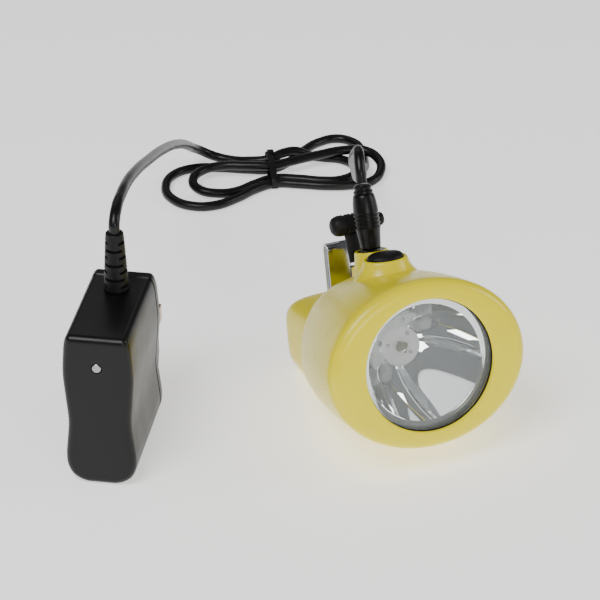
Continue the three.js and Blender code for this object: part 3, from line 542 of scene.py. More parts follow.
NODES_IN: dict[Finish, tuple[str, ...]] = {
    YELLOW_ABS: ("main_housing", "rear_housing",),
    BLACK_RUBBER: ("housing_seal", "lens_seal", "switch_boot", "dust_strap_anchor", "dust_plug",
        "cord_tie", "charger_strain_relief",),
    CLEAR_PC: ("lens",),
    MIRROR_COAT: ("reflector",),
    WHITE_MASK: ("led_board",),
    PHOSPHOR: ("main_led",),
    CLEAR_EPOXY: ("side_led_upper", "side_led_lower", "indicator_light",),
    ALUMINIUM: ("heat_sink", "capacitor_1", "capacitor_2",),
    GREEN_MASK: ("driver_board", "protection_board", "switch_board", "charger_board",),
    CELL_FILM: ("battery_cell_upper", "battery_cell_lower",),
    FOAM: ("battery_pad",),
    RED_WIRE: ("battery_lead_red",),
    CORD_VINYL: ("battery_lead_black", "cord_plug_run", "cord_charger_run", "cord_hank",),
    BLACK_ABS: ("micro_switch", "charge_socket", "plug_insulator", "plug_body", "plug_strain_relief",
        "charger_case", "charger_cover", "pin_block",),
    SPRING_STEEL: ("clip", "clip_rivet_1", "clip_rivet_2", "housing_screw_1", "housing_screw_2",
        "housing_screw_3", "housing_screw_4", "cover_screw_1", "cover_screw_2",),
    BRASS: ("strap_screw", "socket_pin", "blade_pin_left", "blade_pin_right",),
    NICKEL: ("plug_barrel",),
    COPPER: ("transformer",),
}
NODE_FINISH = {node: look for look, nodes in NODES_IN.items() for node in nodes}


def dress(piece: bpy.types.Object, look: Finish, body: Body, *nodes: str) -> bpy.types.Object:
    """Gives a finished piece its finish, its body and the nodes that it stands for.

    Args:
        piece: the new piece.
        look: its finish.
        body: the body that it moves with.
        nodes: the plain solids that it replaces.

    Returns:
        The same piece.
    """
    piece.data.materials.clear()
    piece.data.materials.append(look.material())
    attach(piece, body.value)
    if nodes:
        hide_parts(*nodes)
    log.info("%s in %s on %s", piece.name, look.name, body.value)
    return piece


def dress_nodes() -> None:
    """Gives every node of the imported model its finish."""
    for name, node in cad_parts.items():
        node.data.materials.clear()
        node.data.materials.append(NODE_FINISH[name].material())
    log.info("%d packed nodes dressed", len(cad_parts))


# ---------------------------------------------------------------- studio


@dataclass
class Studio:
    """The camera, the pale floor and the soft lights."""

    camera_at: tuple[float, float, float] = (-316.7, -732.1, 520.4)
    camera_turn: tuple[float, float, float] = (59.0, 0.0, -21.3)
    lens_mm: float = 162.0

    def build(self) -> None:
        """Makes the camera, the floor, the lights and the surrounding light."""
        eye = bpy.data.cameras.new("studio_camera")
        eye.lens = self.lens_mm
        eye.sensor_width = 36
        camera = bpy.data.objects.new("studio_camera", eye)
        bpy.context.scene.collection.objects.link(camera)
        camera.location = Vector(self.camera_at) * MM
        camera.rotation_euler = [math.radians(a) for a in self.camera_turn]
        bpy.context.scene.camera = camera
        self.floor()
        self.lamp("key_panel", (-0.55, -0.35, 0.95), (0.5, 0.5), 8)
        self.lamp("side_panel", (0.95, -0.35, 0.45), (0.35, 0.5), 3)
        self.lamp("front_panel", (-0.05, -1.15, 0.5), (0.45, 0.22), 3)
        self.lamp("back_panel", (0.1, 0.9, 0.8), (0.9, 0.4), 0.7)
        sky = bpy.data.worlds.new("studio_air")
        bpy.context.scene.world = sky
        sky.use_nodes = True
        sky.node_tree.nodes["Background"].inputs["Color"].default_value = linear("F2F4F6")
        sky.node_tree.nodes["Background"].inputs["Strength"].default_value = 0.14

    def floor(self) -> None:
        """Lays a plain pale sheet under the object."""
        start_mesh("floor")
        bpy.ops.mesh.primitive_plane_add(size=6)
        sheet = bpy.context.object
        sheet.name = "floor"
        paper = Finish("pale_paper", "FFFFFF", "FCFCFC", 0.9, 0.02, grain_mm=2, relief=0.02, glow=0.8)
        sheet.data.materials.append(paper.material())

    def lamp(self, name: str, at: tuple[float, float, float], size: tuple[float, float],
             power: float) -> None:
        """Hangs one soft panel that faces the object.

        Args:
            name: the light's name.
            at: its place, in metres.
            size: its width and height, in metres.
            power: its power, in watts.
        """
        panel = bpy.data.lights.new(name, "AREA")
        panel.shape = "RECTANGLE"
        panel.size, panel.size_y = size
        panel.energy = power
        light = bpy.data.objects.new(name, panel)
        bpy.context.scene.collection.objects.link(light)
        light.location = at
        light.rotation_euler = (Vector((0, 0.02, 0.03)) - Vector(at)).to_track_quat("-Z", "Y").to_euler()


# ---------------------------------------------------------------- the lead


@dataclass
class Lead:
    """The cord from the plug, through the tied hank, to the charger."""

    diameter: float = 3.8
    # Chosen points in the ground frame under the lens, as the solids follow them.
    plug_run: Sequence[tuple[float, float, float]] = (
        (0, 61.5, 76.4), (0.2, 63.4, 80.8), (1.5, 68, 84), (5, 78, 79), (12, 98, 65), (22, 120, 48),
        (34, 146, 29), (44, 166, 18), (49.5, 179, 14.3),
    )
    charger_run: Sequence[tuple[float, float, float]] = (
        (-91.35, 54.9, 79.6), (-91.2, 55.2, 82), (-89, 59.5, 85), (-84, 69.5, 84.5), (-78, 82, 81.5),
        (-70, 98, 76),
        (-57, 124, 65), (-41, 156, 50.5), (-24, 190, 33), (-9, 220, 14.8),
    )
    # The hank in its own frame: along it, across it and up. It passes the tie five times.
    under_right: Sequence[tuple[float, float, float]] = (
        (35.5, -11, 9), (37.5, -2, 4.4), (39, 7, 2.1), (39.5, 16, 2.1), (37, 24, 2.1), (31, 28, 2.1),
        (23.5, 26, 2.1),
        (15, 18.5, 2.1), (7.5, 10, 2.1), (0, 5.6, 2.1),
    )
    left_outer: Sequence[tuple[float, float, float]] = (
        (-9, 7, 2.1), (-20, 10, 2.1), (-31, 11, 2.1), (-39, 7, 2.1), (-43.5, -3, 2.1), (-42, -13, 2.1),
        (-35, -20, 2.1),
        (-26, -21, 2.1), (-16, -16, 2.1), (-8, -10, 2.1), (0, -6.6, 2.1),
    )
    right_outer: Sequence[tuple[float, float, float]] = (
        (10, -8.6, 2.1), (20, -11.5, 2.1), (30, -12.5, 2.1), (38.5, -11, 2.2), (43.5, -5, 3.2), (44, 3, 4.7),
        (39.5, 9, 5.8), (31, 10.5, 5.8), (20, 8, 5.8), (9, 4.5, 5.8), (0, 2, 5.8),
    )
    left_inner: Sequence[tuple[float, float, float]] = (
        (-10, 3.3, 5.8), (-20, 5.5, 5.3), (-28, 3.5, 4.8), (-32.5, -3, 4.2), (-30.5, -10, 3.6),
        (-24, -12.4, 2.8),
        (-16, -10.8, 2.1), (-8, -6, 2.1), (0, -2.5, 2.1),
    )
    right_inner: Sequence[tuple[float, float, float]] = (
        (10, -4.2, 2.1), (19, -7.2, 2.1), (27, -7.6, 2.1), (33, -3.5, 2.1), (34, 3.5, 2.1), (30, 9.5, 2.1),
        (23, 12.4, 2.1),
        (17, 13, 3.2), (12, 13, 5.6), (6, 11.8, 5.8), (0, 9.7, 4.6),
    )
    leaving: Sequence[tuple[float, float, float]] = (
        (-7, 11.6, 3.4), (-14, 15.5, 2.2), (-21, 18.6, 3), (-27, 18, 6.5), (-31, 13.4, 10.6),
    )

    def route(self) -> Row:
        """Returns the cord's points in metres, from the plug to the top of the charger's case."""
        ground = [GROUND.at(*p) for p in self.plug_run]
        loops = (*self.under_right, *self.left_outer, *self.right_outer, *self.left_inner, *self.right_inner)
        hank = [HANK.at(*p) for p in (*loops, *self.leaving)]
        back = [GROUND.at(*p) for p in reversed(self.charger_run)]
        x, y, _ = self.charger_run[0]
        relief = [GROUND.at(x, y, z) for z in (74, 66, 58.5)]
        return ground + hank + back + relief

    def build(self) -> bpy.types.Object:
        """Makes the cord as one smooth curve and returns it."""
        line = bpy.data.curves.new("lead", "CURVE")
        line.dimensions = "3D"
        line.bevel_depth = self.diameter / 2 * MM
        line.bevel_resolution = 5
        line.resolution_u = 8
        line.use_fill_caps = True
        spline = line.splines.new("BEZIER")
        points = self.route()
        spline.bezier_points.add(len(points) - 1)
        for knot, point in zip(spline.bezier_points, points):
            knot.co = point
            knot.handle_left_type = knot.handle_right_type = "AUTO"
        cord = bpy.data.objects.new("lead", line)
        bpy.context.scene.collection.objects.link(cord)
        dress(cord, CORD_VINYL, Body.LEAD, "cord_plug_run", "cord_charger_run", "cord_hank")
        return cord

    def tie(self) -> bpy.types.Object:
        """Makes the flat twist tie round the five passes, with its tail."""
        corners = [(-8.9, 3), (-8.3, 0.9), (-6.6, 0.25), (5.6, 0.25), (8.6, 1), (11.6, 2.8), (12.2, 5),
                   (11, 7.2),
                   (8.5, 7.6), (5, 8.2), (2, 8.4), (-0.8, 7.8), (-3.8, 6.2), (-6.6, 5), (-8.4, 4.2),
                   (-8.9, 3)]
        band = ribbon("tie_band", HANK, corners, 0, 2.6, 0.5, ring=True)
        tail = ribbon("tie_tail", HANK, [(8.4, 7.9), (10.6, 8.1), (12.8, 7.2), (14.6, 5.4), (16.2, 3.2)],
                      0.9, 2.4, 0.5)
        both = joined("twist_tie", [band, tail])
        return dress(both, BLACK_RUBBER, Body.LEAD, "cord_tie")


# ---------------------------------------------------------------- the head


@dataclass
class LampHead:
    """The barrel, the battery box and what closes them."""

    face_half: float = 35.4
    face_up: float = 29.3
    barrel_end: float = 52.0
    end_half: float = 27.4
    end_top: float = 20.3
    end_middle: float = -7.0
    end_bottom: float = 24.4
    face_round: float = 3.6
    wall: float = 2.2
    window: float = 23.0
    lens_radius: float = 24.9
    box_end: float = 78.0
    box_half: float = 23.4
    box_top: float = 9.0
    box_middle: float = -4.0
    switch_back: float = 33.0
    switch_bore: tuple[float, float] = (6.8, 5.2)  # half-width and half-length
    screw_at: tuple[float, tuple[float, float]] = (19.6, (2, -9))  # to each side, and the two heights

    def station(self, back: float, inset: float = 0) -> Row:
        """One outline of the barrel.

        Args:
            back: the distance behind the front of the head.
            inset: how far inside the outline the points lie.

        Returns:
            The points, in metres.
        """
        s = max(0.0, (back - self.face_round) / (self.barrel_end - self.face_round))
        swell = 1.2 * 4 * s * (1 - s)

        def mix(a: float, b: float) -> float:
            """Returns the value at this station between the face and the end."""
            return a + (b - a) * s

        return oval_row(
            HEAD, back, mix(self.face_half, self.end_half) + swell,
            mix(self.face_up, self.end_top - self.end_middle) + swell,
            mix(self.face_up, self.end_bottom + self.end_middle) + swell / 3,
            mix(2, 2.4), mix(0, self.end_middle), inset,
        )

    def face_row(self, back: float, inset: float) -> Row:
        """Returns one outline of the rounded front edge, at a distance back and an inset."""
        return oval_row(HEAD, back, self.face_half, self.face_up, self.face_up, inset=inset)

    def circle(self, back: float, radius: float) -> Row:
        """Returns a round outline about the beam, at a distance back."""
        return oval_row(HEAD, back, radius, radius, radius)

    def door_row(self, back: float) -> Row:
        """Returns the outline of the opening to the battery box, at a distance back."""
        return oval_row(HEAD, back, 17.8, 12.2, 12.2, 9, self.box_middle)

    def barrel(self) -> bpy.types.Object:
        """Makes the barrel with its window, foot and socket collar, and returns it."""
        front = [(0, self.window + 0.6), (0.05, self.window + 1.2)]
        edge = [(4, 0.02), (3.2, 0.16), (2.4, 0.4), (1.6, 0.82), (0.9, 1.4), (0.4, 2.1), (0.1, 2.9), (0, 3.6)]
        reach = self.barrel_end - self.face_round
        stations = [self.barrel_end - reach + reach * i / 16 for i in range(1, 16)]
        rows = [self.circle(1, self.window), self.circle(0.35, self.window),
                self.circle(0.1, self.window + 0.15)]
        rows += [self.circle(back, radius) for back, radius in front]
        rows += [self.face_row(back, inset) for inset, back in edge]
        rows += [self.station(back) for back in stations]
        rows += [self.station(self.barrel_end - 0.9, 0.25), self.station(self.barrel_end - 0.35, 0.8),
                 self.station(self.barrel_end, 1.8)]
        rows += [self.door_row(back) for back in (self.barrel_end, self.barrel_end - self.wall)]
        rows += [self.station(back, self.wall) for back in (self.barrel_end - self.wall, 40, 25, 12)]
        rows += [self.circle(5.9, self.lens_radius + 0.3), self.circle(1, self.lens_radius + 0.3),
                 self.circle(1, self.window)]
        shell = loft("barrel_shell", rows, ends=False, ring=True)
        bore = turned("switch_bore", HEAD, Axis.Z, (0, self.switch_back), [(1, 20), (1, 38)], 48)
        for vertex in bore.data.vertices:
            vertex.co = self.switch_place(vertex.co)
        mouth = turned("socket_mouth", SOCKET, Axis.Z, (0, 0), [(5, -26), (5, 4)], 48)
        cut_with(shell, [bore, mouth])
        collar = turned("socket_collar", SOCKET, Axis.Z, (0, 0),
                        [(7.6, -11), (7.0, -8), (6.5, -5), (6.1, -2.6), (5.95, -0.9), (5.7, -0.4),
                        (5.4, -0.3), (5.0, -0.3), (5.0, -11), (7.6, -11)], 64, ring=True)
        foot = self.foot()
        guard = self.switch_collar()
        lug = eased_box("strap_lug", HEAD, (-5.8, 0), (49.9, 51.9), (14.3, 23.6), 0.6)
        return dress(joined("barrel", [shell, collar, guard, foot, lug]), YELLOW_ABS, Body.LAMP,
                     "main_housing")

    def switch_place(self, point: Vector) -> Vector:
        """Returns a point of a unit bore, in metres, moved to the switch's oval bore."""
        local = HEAD.turn.transposed() @ (point / MM - HEAD.origin)
        half, long = self.switch_bore
        return HEAD.at(local.x * half, self.switch_back + (local.y - self.switch_back) * long, local.z)

    def switch_collar(self) -> bpy.types.Object:
        """Makes the raised oval collar that guards the switch, and returns it."""
        half, long = self.switch_bore
        rows = []
        for out, z in ((5.4, 22.4), (4.2, 24.2), (3.0, 25.6), (2.1, 27), (1.5, 28.4), (1.2, 29.4),
                       (1.0, 29.9), (0.7, 30.15),
                       (0.4, 30.2), (0.12, 30.12), (0, 29.9), (0, 22.4), (5.4, 22.4)):
            rows.append([HEAD.at((half + out) * math.cos(a), self.switch_back + (long + out) * math.sin(a), z)
                         for a in (2 * math.pi * i / 64 for i in range(64))])
        return loft("switch_collar", rows, ends=False, ring=True)

    def foot(self) -> bpy.types.Object:
        """Makes the flat foot under the barrel and returns it."""
        rows = []
        for back in (30, 30.6, 34, 42, 50.4, 51):
            ease = 0.8 if back in (30, 51) else 0.0
            low = -self.ground_drop(back) + ease
            half = 11 - ease
            rows.append([HEAD.at(x, back, z) for x, z in
                         ((-half, low + 6), (-half, low + 0.7), (-half + 0.7, low), (half - 0.7, low),
                          (half, low + 0.7), (half, low + 6))])
        return loft("foot", rows)

    def ground_drop(self, back: float) -> float:
        """Returns how far the ground is below the beam's axis, square to the beam, at a distance back."""
        return BEAM_HEIGHT / math.cos(PITCH) - back * math.tan(PITCH)

    def box_row(self, back: float, inset: float = 0) -> Row:
        """Returns one outline of the battery box, at a distance back and an inset."""
        return oval_row(HEAD, back, self.box_half, self.box_top - self.box_middle,
                        self.box_middle + self.ground_drop(back),
                        4.5, self.box_middle, inset)

    def battery_box(self) -> bpy.types.Object:
        """Makes the battery box with its rounded back edge, and returns it."""
        front, end = self.barrel_end + 0.3, self.box_end
        rows = [self.box_row(end - 2.6, 1.8), self.box_row(front + 1, 1.8), self.box_row(front + 1, 0.8),
                self.box_row(front, 0.8), self.box_row(front, 0.25), self.box_row(front + 0.25, 0)]
        rows += [self.box_row(front + 5 * i, 0) for i in range(1, 5)]
        rows += [self.box_row(end - 2.2, 0), self.box_row(end - 1.5, 0.15), self.box_row(end - 0.9, 0.5),
                 self.box_row(end - 0.4, 1.0), self.box_row(end - 0.1, 1.7), self.box_row(end, 2.5)]
        shell = loft("battery_box", rows)
        side, heights = self.screw_at
        places = [(x, z) for z in heights for x in (-side, side)]
        bores = [turned(f"box_bore_{i}", HEAD, Axis.Y, at, [(2.4, end - 1.7), (2.4, end + 2)], 32)
                 for i, at in enumerate(places)]
        cut_with(shell, bores)
        return dress(shell, YELLOW_ABS, Body.LAMP, "rear_housing")

    def build(self) -> None:
        """Makes the head's two shells."""
        self.barrel()
        self.battery_box()


def eased_box(name: str, place: Place, x: tuple[float, float], y: tuple[float, float], z: tuple[float, float],
              ease: float) -> bpy.types.Object:
    """Makes a block with rounded edges in a frame.

    Args:
        name: the piece's name.
        place: the frame that it is drawn in.
        x: its two ends along x.
        y: its two ends along y.
        z: its two ends along z.
        ease: the rounding of its edges.

    Returns:
        The new piece.
    """
    corners = [(x[0], z[0]), (x[1], z[0]), (x[1], z[1]), (x[0], z[1])]
    block = loft(name, [[place.at(a, back, b) for a, b in corners] for back in y])
    only(block)
    bevel = block.modifiers.new("edge", "BEVEL")
    bevel.width = ease * MM
    bevel.segments = 3
    bpy.ops.object.modifier_apply(modifier=bevel.name)
    return smoothed(block, 40)


# ---------------------------------------------------------------- the light


@dataclass
class LightUnit:
    """The mirror, the board with its lights and the clear front."""

    mouth: float = 20.4
    throat: float = 7.0
    depth: float = 21.6
    flange_front: float = 4.4
    lens_radius: float = 24.9
    pocket: float = 3.5
    side_lights: Sequence[tuple[float, float]] = field(default_factory=lambda: ((7.3, 8.6), (-8.9, -7.0)))

    def bowl(self) -> float:
        """Returns the parabola's rate: the change of radius squared for each millimetre of depth."""
        return (self.mouth ** 2 - self.throat ** 2) / self.depth

    def mirror_radius(self, back: float) -> float:
        """Returns the mirror's inner radius at a distance back: a parabola, for a parallel beam."""
        return math.sqrt(self.throat ** 2 + self.bowl() * (self.flange_front + self.depth - back))

    def mirror(self) -> None:
        """Makes the mirror with its flange and the two light pockets."""
        steps = [self.flange_front + 0.2 + (self.depth - 0.2) * i / 36 for i in range(37)]
        bowl = [(self.mirror_radius(t), t) for t in steps]
        outer = [(self.mirror_radius(t) + 1.2, t) for t in reversed(steps[3:])]
        rim = [(self.lens_radius, 5.6), (self.lens_radius, 4.5), (self.lens_radius - 0.1, 4.4),
               (self.mouth + 0.35, 4.4)]
        start = [(self.mouth + 0.12, 4.45)]
        shell = turned("mirror", HEAD, Axis.Y, (0, 0), [*start, *bowl, *outer, *rim, start[0]], 144,
                       ring=True, angle=28)
        holes = [turned(f"pocket_{i}", HEAD, Axis.Y, at, [(self.pocket, 2), (self.pocket, 30)], 48)
                 for i, at in enumerate(self.side_lights)]
        cut_with(shell, holes)
        dress(shell, MIRROR_COAT, Body.LAMP, "reflector")
        for name, (x, z) in zip(("upper", "lower"), self.side_lights):
            self.pocket_sleeve(name, x, z)

    def pocket_sleeve(self, name: str, x: float, z: float) -> None:
        """Makes the tube round one side light, cut off where it meets the bowl.

        Args:
            name: which of the two it is.
            x: its place across the head.
            z: its height above the beam's axis.
        """
        rows = []
        for radius, lift in ((self.pocket, 1), (self.pocket + 0.15, 1), (self.pocket + 0.45, 1),
                             (self.pocket + 0.6, 1),
                             (self.pocket + 0.6, 0), (self.pocket, 0), (self.pocket, 1)):
            row = []
            for i in range(56):
                turn = 2 * math.pi * i / 56
                px, pz = x + radius * math.cos(turn), z + radius * math.sin(turn)
                reach = min(math.hypot(px, pz), self.mouth)
                fall = max(reach ** 2 - self.throat ** 2, 0) / self.bowl()
                surface = self.flange_front + self.depth - fall
                proud = 0.55 if radius < self.pocket + 0.4 else 0.2
                row.append(HEAD.at(px, min(surface - proud, 25.6) if lift else 25.9, pz))
            rows.append(row)
        sleeve = loft(f"pocket_sleeve_{name}", rows, ends=False, ring=True)
        dress(sleeve, MIRROR_COAT, Body.LAMP)

    def board(self) -> None:
        """Makes the round board, its solder marks, the main light and the two side lights."""
        plate = turned("light_board", HEAD, Axis.Y, (0, 0),
                       [(14.6, 26.3), (15, 26.5), (15, 27.7), (14.6, 27.9)], 72)
        dress(plate, WHITE_MASK, Body.LAMP, "led_board")
        marks = [turned(f"solder_{i}", HEAD, Axis.Y, at,
                        [(0.75, 26.32), (0.7, 26.1), (0.45, 25.92), (0.15, 25.86)], 20)
                 for i, at in enumerate([(2.9, 4.1), (3.6, -2.6), (-4.6, 1.1)])]
        dress(joined("solder_marks", marks), SOLDER, Body.LAMP)
        base = eased_box("light_base", HEAD, (-1.75, 1.75), (25.1, 26.0), (-1.75, 1.75), 0.12)
        turn_about_beam(base, 45)
        dome = turned("light_dome", HEAD, Axis.Y, (0, 0),
                      [(1.85, 25.5), (1.9, 25.1), (1.72, 24.5), (1.3, 23.95),
                      (0.75, 23.6), (0.2, 23.45)], 40)
        dress(joined("main_light", [base, dome]), PHOSPHOR, Body.LAMP, "main_led")
        for name, (x, z) in zip(("upper", "lower"), self.side_lights):
            body = turned(f"side_light_{name}", HEAD, Axis.Y, (x, z), [
                (2.9, 26.0), (2.9, 25.1), (2.7, 25.0), (2.5, 24.9), (2.5, 20.5), (2.42, 20.0), (2.2, 19.2),
                (1.75, 18.6), (1.2, 18.2), (0.6, 18.02), (0.15, 18.0)], 40)
            dress(body, CLEAR_EPOXY, Body.LAMP, f"side_led_{name}")
            die = eased_box(f"side_die_{name}", HEAD, (x - 0.6, x + 0.6), (21.6, 24.6), (z - 0.6, z + 0.6),
                            0.15)
            dress(die, SOLDER, Body.LAMP)

    def front(self) -> None:
        """Makes the clear front and the seal before it."""
        window = turned("clear_front", HEAD, Axis.Y, (0, 0),
                        [(24.7, 2.3), (24.9, 2.45), (24.9, 3.95), (24.7, 4.1)], 96)
        dress(window, CLEAR_PC, Body.LAMP, "lens")
        seal = turned("front_seal", HEAD, Axis.Y, (0, 0),
                      [(22.75, 1.35), (24.8, 1.3), (24.9, 1.65), (24.8, 2.0), (22.75, 1.95),
                      (22.65, 1.65), (22.75, 1.35)], 96, ring=True)
        dress(seal, BLACK_RUBBER, Body.LAMP, "lens_seal")

    def build(self) -> None:
        """Makes the whole light unit."""
        self.mirror()
        self.board()
        self.front()


def turn_about_beam(piece: bpy.types.Object, degrees: float) -> None:
    """Turns a piece's mesh about the beam's axis.

    Args:
        piece: the piece.
        degrees: the turn.
    """
    only(piece)
    bpy.ops.object.mode_set(mode="EDIT")
    bpy.ops.mesh.select_all(action="SELECT")
    centre = HEAD.at(0, 25, 0)
    axis = (HEAD.turn @ Vector((0, 1, 0))).to_track_quat("Z", "Y").to_matrix()
    bpy.ops.transform.rotate(value=math.radians(degrees), orient_axis="Z", orient_matrix=axis,
                             orient_type="GLOBAL", orient_matrix_type="GLOBAL", center_override=centre)
    bpy.ops.object.mode_set(mode="OBJECT")


# ---------------------------------------------------------------- fittings


@dataclass
class Fittings:
    """The switch, the helmet clip and the dust plug."""

    switch_back: float = 33.0
    switch_half: tuple[float, float] = (6.5, 4.9)  # half-width and half-length
    clip_front: float = 78.3
    clip_thick: float = 0.8
    clip_gap: float = 3.2
    clip_top: float = 25.2
    strap_x: float = -3.0
    strap_thick: float = 1.6

    def switch(self) -> None:
        """Makes the oval rubber dome of the switch."""
        half, long = self.switch_half
        rows = []
        for inset, z in ((-0.7, 22.7), (-0.7, 23.6), (0, 23.7), (0, 30.1), (0.15, 30.7), (0.5, 31.2),
                         (1.1, 31.6), (2.0, 31.85),
                         (3.0, 31.95), (4.2, 32)):
            rows.append([HEAD.at((half - inset) * math.cos(a),
                                 self.switch_back + max(long - inset, 0.5) * math.sin(a), z)
                         for a in (2 * math.pi * i / 64 for i in range(64))])
        dress(loft("switch_dome", rows), BLACK_RUBBER, Body.SWITCH, "switch_boot")

    def clip(self) -> None:
        """Makes the bent steel clip, in one strip."""
        t, gap = self.clip_thick, self.clip_gap
        front = self.clip_front + t / 2
        bend = (gap + t) / 2
        centre = self.clip_top - gap / 2 - t
        path = [(front, -12), (front, -4), (front, 4), (front, 12), (front, centre - 3)]
        path += [(front + bend - bend * math.cos(a), centre + bend * math.sin(a))
                 for a in (math.pi * i / 14 for i in range(15))]
        rear = front + 2 * bend
        path += [(rear, centre - 3), (rear, 12), (rear, 4), (rear, -2.5), (rear + 0.3, -4.6),
                 (rear + 0.9, -6.8), (rear + 1.5, -9)]
        strip = ribbon("helmet_clip", HEAD, path, 0, 8.8, t, ease=0.3)
        dress(strip, SPRING_STEEL, Body.LAMP, "clip")

    def dust_plug(self) -> None:
        """Makes the dust plug's ribbed head and nub, with the strap that holds it."""
        middle = 52.3 + self.strap_thick / 2
        start, end = Vector((middle, 24.6)), Vector((57.2, 37.3))
        path = [tuple(start.lerp(end, s)) for s in (0, 0.2, 0.4, 0.6, 0.8, 1.0)]
        strap = ribbon("dust_strap", HEAD, path, self.strap_x, 5, self.strap_thick, ease=0.5)
        r, g = 3.7, 3.35
        profile = [(0.3, -10), (1.4, -9.95), (2.3, -9.6), (3.0, -9.0), (3.45, -8.2), (r, -7), (r, -5.3),
                   (g, -5.05),
                   (g, -4.4), (r, -4.15), (r, -2.5), (g, -2.25), (g, -1.6), (r, -1.35), (r, 0.7),
                   (3.5, 1.3), (3.1, 1.6),
                   (2.6, 1.65), (2.5, 2.0), (2.5, 8), (2.35, 8.8), (2.0, 9.4), (1.3, 9.75), (0.3, 9.8)]
        head = turned("dust_head", HEAD, Axis.X, (57.2, 37.3), profile, 48)
        dress(joined("dust_stopper", [strap, head]), BLACK_RUBBER, Body.DUST_CAP, "dust_plug")
        anchor = eased_copy("dust_strap_anchor", "strap_anchor", 0.35)
        dress(anchor, BLACK_RUBBER, Body.LAMP, "dust_strap_anchor")

    def build(self) -> None:
        """Makes all the head's fittings."""
        self.switch()
        self.clip()
        self.dust_plug()


@dataclass
class ChargingPlug:
    """The moulded plug and the short strain relief on it."""

    long: float = 19.4
    ribs: int = 4

    def build(self) -> list[bpy.types.Object]:
        """Makes the plug and returns its pieces."""
        grip = []
        for i in range(self.ribs):
            z = 7.5 + i * 1.4
            grip += [(4.45, z), (4.45, z + 0.45), (4.2, z + 0.6), (4.2, z + 1.1)]
        profile = [(3.1, 0), (3.3, 0.12), (3.5, 0.5), (3.72, 2), (3.9, 4), (4.25, 7), *grip, (4.4, 13.1),
                   (4.35, 14),
                   (4.15, 16.6), (3.8, self.long - 1), (3.7, self.long - 0.4), (3.5, self.long - 0.05),
                   (3.2, self.long)]
        body = turned("plug_grip", SOCKET, Axis.Z, (0, 0), profile, 72)
        low = self.long + 0.3
        relief = turned("plug_neck", SOCKET, Axis.Z, (0, 0), [
            (3.2, low), (3.4, low + 0.15), (3.4, low + 0.9), (3.25, low + 1.05), (2.8, low + 1.15),
            (2.8, low + 1.6),
            (3.1, low + 1.7), (3.15, low + 2.4), (2.9, low + 2.65), (2.6, low + 2.8), (2.5, low + 3.1),
            (2.3, low + 3.2)], 56)
        return [dress(body, BLACK_ABS, Body.LEAD, "plug_body"),
                dress(relief, BLACK_ABS, Body.LEAD, "plug_strain_relief")]


# ---------------------------------------------------------------- the charger


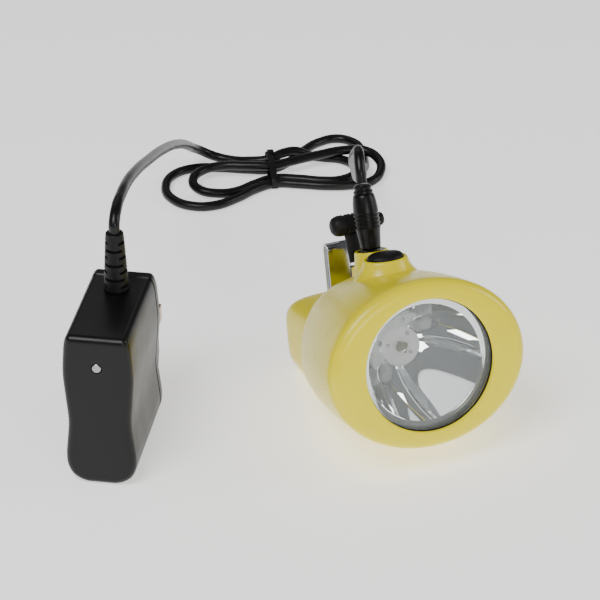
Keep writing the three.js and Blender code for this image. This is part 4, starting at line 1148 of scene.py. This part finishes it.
@dataclass
class WallCharger:
    """The waisted wall charger, with its blades, light and strain relief."""

    tall: float = 57.5
    deep: float = 41.0
    light_down: float = 11.4  # the light, below the top
    relief_back: float = 33.0  # the strain relief, behind the front
    # Half its outline, as half-width and share of the height.
    side: Sequence[tuple[float, float]] = (
        (3, 0), (4.6, 0), (7.4, 0.015), (10.1, 0.05), (11.7, 0.11), (12, 0.18), (11.6, 0.26), (10.8, 0.41),
        (11.4, 0.57),
        (12, 0.73), (11.5, 0.88), (11.1, 0.94), (10.5, 0.975), (9.6, 0.995), (8.6, 1), (7.6, 1),
    )

    def outline(self, inset: float) -> list[tuple[float, float]]:
        """The case's outline, drawn finely.

        Args:
            inset: how far inside the outline the points lie.

        Returns:
            Pairs of x and z, in order round the case.
        """
        half = [(x, share * self.tall) for x, share in self.side]
        loop = [*half, *[(-x, z) for x, z in reversed(half)]]
        fine = []
        count = len(loop)
        for i in range(count):
            p0, p1, p2, p3 = (Vector(loop[(i + k) % count]) for k in (-1, 0, 1, 2))
            for step in range(5):
                t = step / 5
                flat = abs(p1.y - p2.y) < 1e-6
                bend = 2 * p0 - 5 * p1 + 4 * p2 - p3
                twist = 3 * p1 - p0 - 3 * p2 + p3
                curved = 0.5 * (2 * p1 + (p2 - p0) * t + bend * t * t + twist * t ** 3)
                fine.append(p1.lerp(p2, t) if flat else curved)
        placed = []
        for i, point in enumerate(fine):
            along = (fine[(i + 1) % len(fine)] - fine[i - 1]).normalized()
            moved = point + Vector((-along.y, along.x)) * inset
            placed.append((moved.x, min(max(moved.y, inset), self.tall - inset)))
        return placed

    def row(self, back: float, inset: float) -> Row:
        """Returns one outline of the case in metres, at a distance back and an inset."""
        return [CHARGER.at(x, back, z) for x, z in self.outline(inset)]

    def case(self) -> list[bpy.types.Object]:
        """Makes the case and its back cover, and returns them."""
        front = [(0, 2.4), (0.08, 1.8), (0.3, 1.2), (0.7, 0.7), (1.2, 0.3), (1.8, 0.08), (2.4, 0)]
        rows = [self.row(back, inset) for back, inset in front]
        rows += [self.row(back, 0) for back in (10, 20, 30, self.deep - 0.4)]
        rows += [self.row(self.deep, 0.35), self.row(self.deep, 1.8), self.row(1.8, 1.8)]
        shell = loft("charger_shell", rows)
        light_bore = turned("light_bore", CHARGER, Axis.Y, (0, self.tall - self.light_down),
                            [(1.9, -2), (1.9, 3)], 40)
        cord_bore = turned("cord_bore", CHARGER, Axis.Z, (0, self.relief_back),
                           [(3.3, self.tall - 5), (3.3, self.tall + 3)], 40)
        cut_with(shell, [light_bore, cord_bore])
        cover_rows = [self.row(back, inset) for back, inset in
                      ((43.9, 1.8), (41.3, 1.8), (41.3, 0.35), (41.7, 0), (44.4, 0), (45.2, 0.3),
                       (45.65, 0.8), (45.8, 1.5))]
        cover = loft("charger_back", cover_rows)
        bores = [turned(f"cover_bore_{i}", CHARGER, Axis.Y, (0, z), [(2.3, 44.3), (2.3, 47)], 32)
                 for i, z in enumerate((7.5, 51))]
        cut_with(cover, bores)
        return [dress(shell, BLACK_ABS, Body.LEAD, "charger_case"),
                dress(cover, BLACK_ABS, Body.LEAD, "charger_cover")]

    def strain_relief(self) -> bpy.types.Object:
        """Makes the flexible strain relief, slotted in turn on its two sides, and returns it."""
        profile = [(4.5, 54.2), (4.5, 55.3), (3, 55.4), (3, 57.8), (4.25, 57.82), (4.35, 58.0)]
        slots = 7
        for i in range(slots):
            z = 59.2 + i * 2.7
            r = 4.25 - 1.2 * (z - 57.5) / 21.5
            profile += [(r + 0.02, z), (r, z + 0.1), (r, z + 1.0), (r - 0.02, z + 1.1)]
        profile += [(3.05, 78.2), (2.95, 78.8), (2.7, 79)]

        def slotted(radius: float, turn: float, step: int) -> float:
            """Returns the radius, dipped inside a slot's span, which swaps sides from slot to slot."""
            local = step - 6
            if local < 0 or local >= 4 * slots or local % 4 not in (1, 2):
                return radius
            facing = math.cos(turn * 2 + (math.pi if (local // 4) % 2 else 0))
            return radius - (0.85 if facing > -0.35 else 0.0)

        tube = turned("relief_sleeve", CHARGER, Axis.Z, (0, self.relief_back), profile, 64,
                      radius_at=slotted, angle=25)
        return dress(tube, BLACK_RUBBER, Body.LEAD, "charger_strain_relief")

    def small_pieces(self) -> list[bpy.types.Object]:
        """Makes the light, the pin block and the blades, and returns them."""
        z = self.tall - self.light_down
        light = turned("charge_light", CHARGER, Axis.Y, (0, z),
                       [(0.3, -0.2), (1.0, -0.19), (1.4, -0.1), (1.58, 0.1), (1.6, 0.4),
                       (1.6, 4.8)], 40)
        block = eased_copy("pin_block", "blade_block", 0.6)
        pieces = [dress(light, SOLDER, Body.LEAD, "indicator_light"),
                  dress(block, BLACK_ABS, Body.LEAD, "pin_block")]
        for side in ("left", "right"):
            blade = eased_copy(f"blade_pin_{side}", f"blade_{side}", 0.3)
            pieces.append(dress(blade, BRASS, Body.LEAD, f"blade_pin_{side}"))
        return pieces

    def build(self) -> list[bpy.types.Object]:
        """Makes the charger and returns its pieces."""
        return [*self.case(), self.strain_relief(), *self.small_pieces()]


def measured_length(cord: bpy.types.Object) -> float:
    """Returns the length of a cord's curve, in metres."""
    return cord.data.splines[0].calc_length()


def main() -> None:
    """Builds the studio, the lead, the head and the charger in order."""
    Studio().build()
    lead = Lead()
    cord = lead.build()
    tie = lead.tie()
    LampHead().build()
    LightUnit().build()
    Fittings().build()
    plug = ChargingPlug().build()
    charger = WallCharger().build()
    dress_nodes()
    log.info("the lead measures %.4f m", measured_length(cord))


if __name__ == "__main__":
    main()
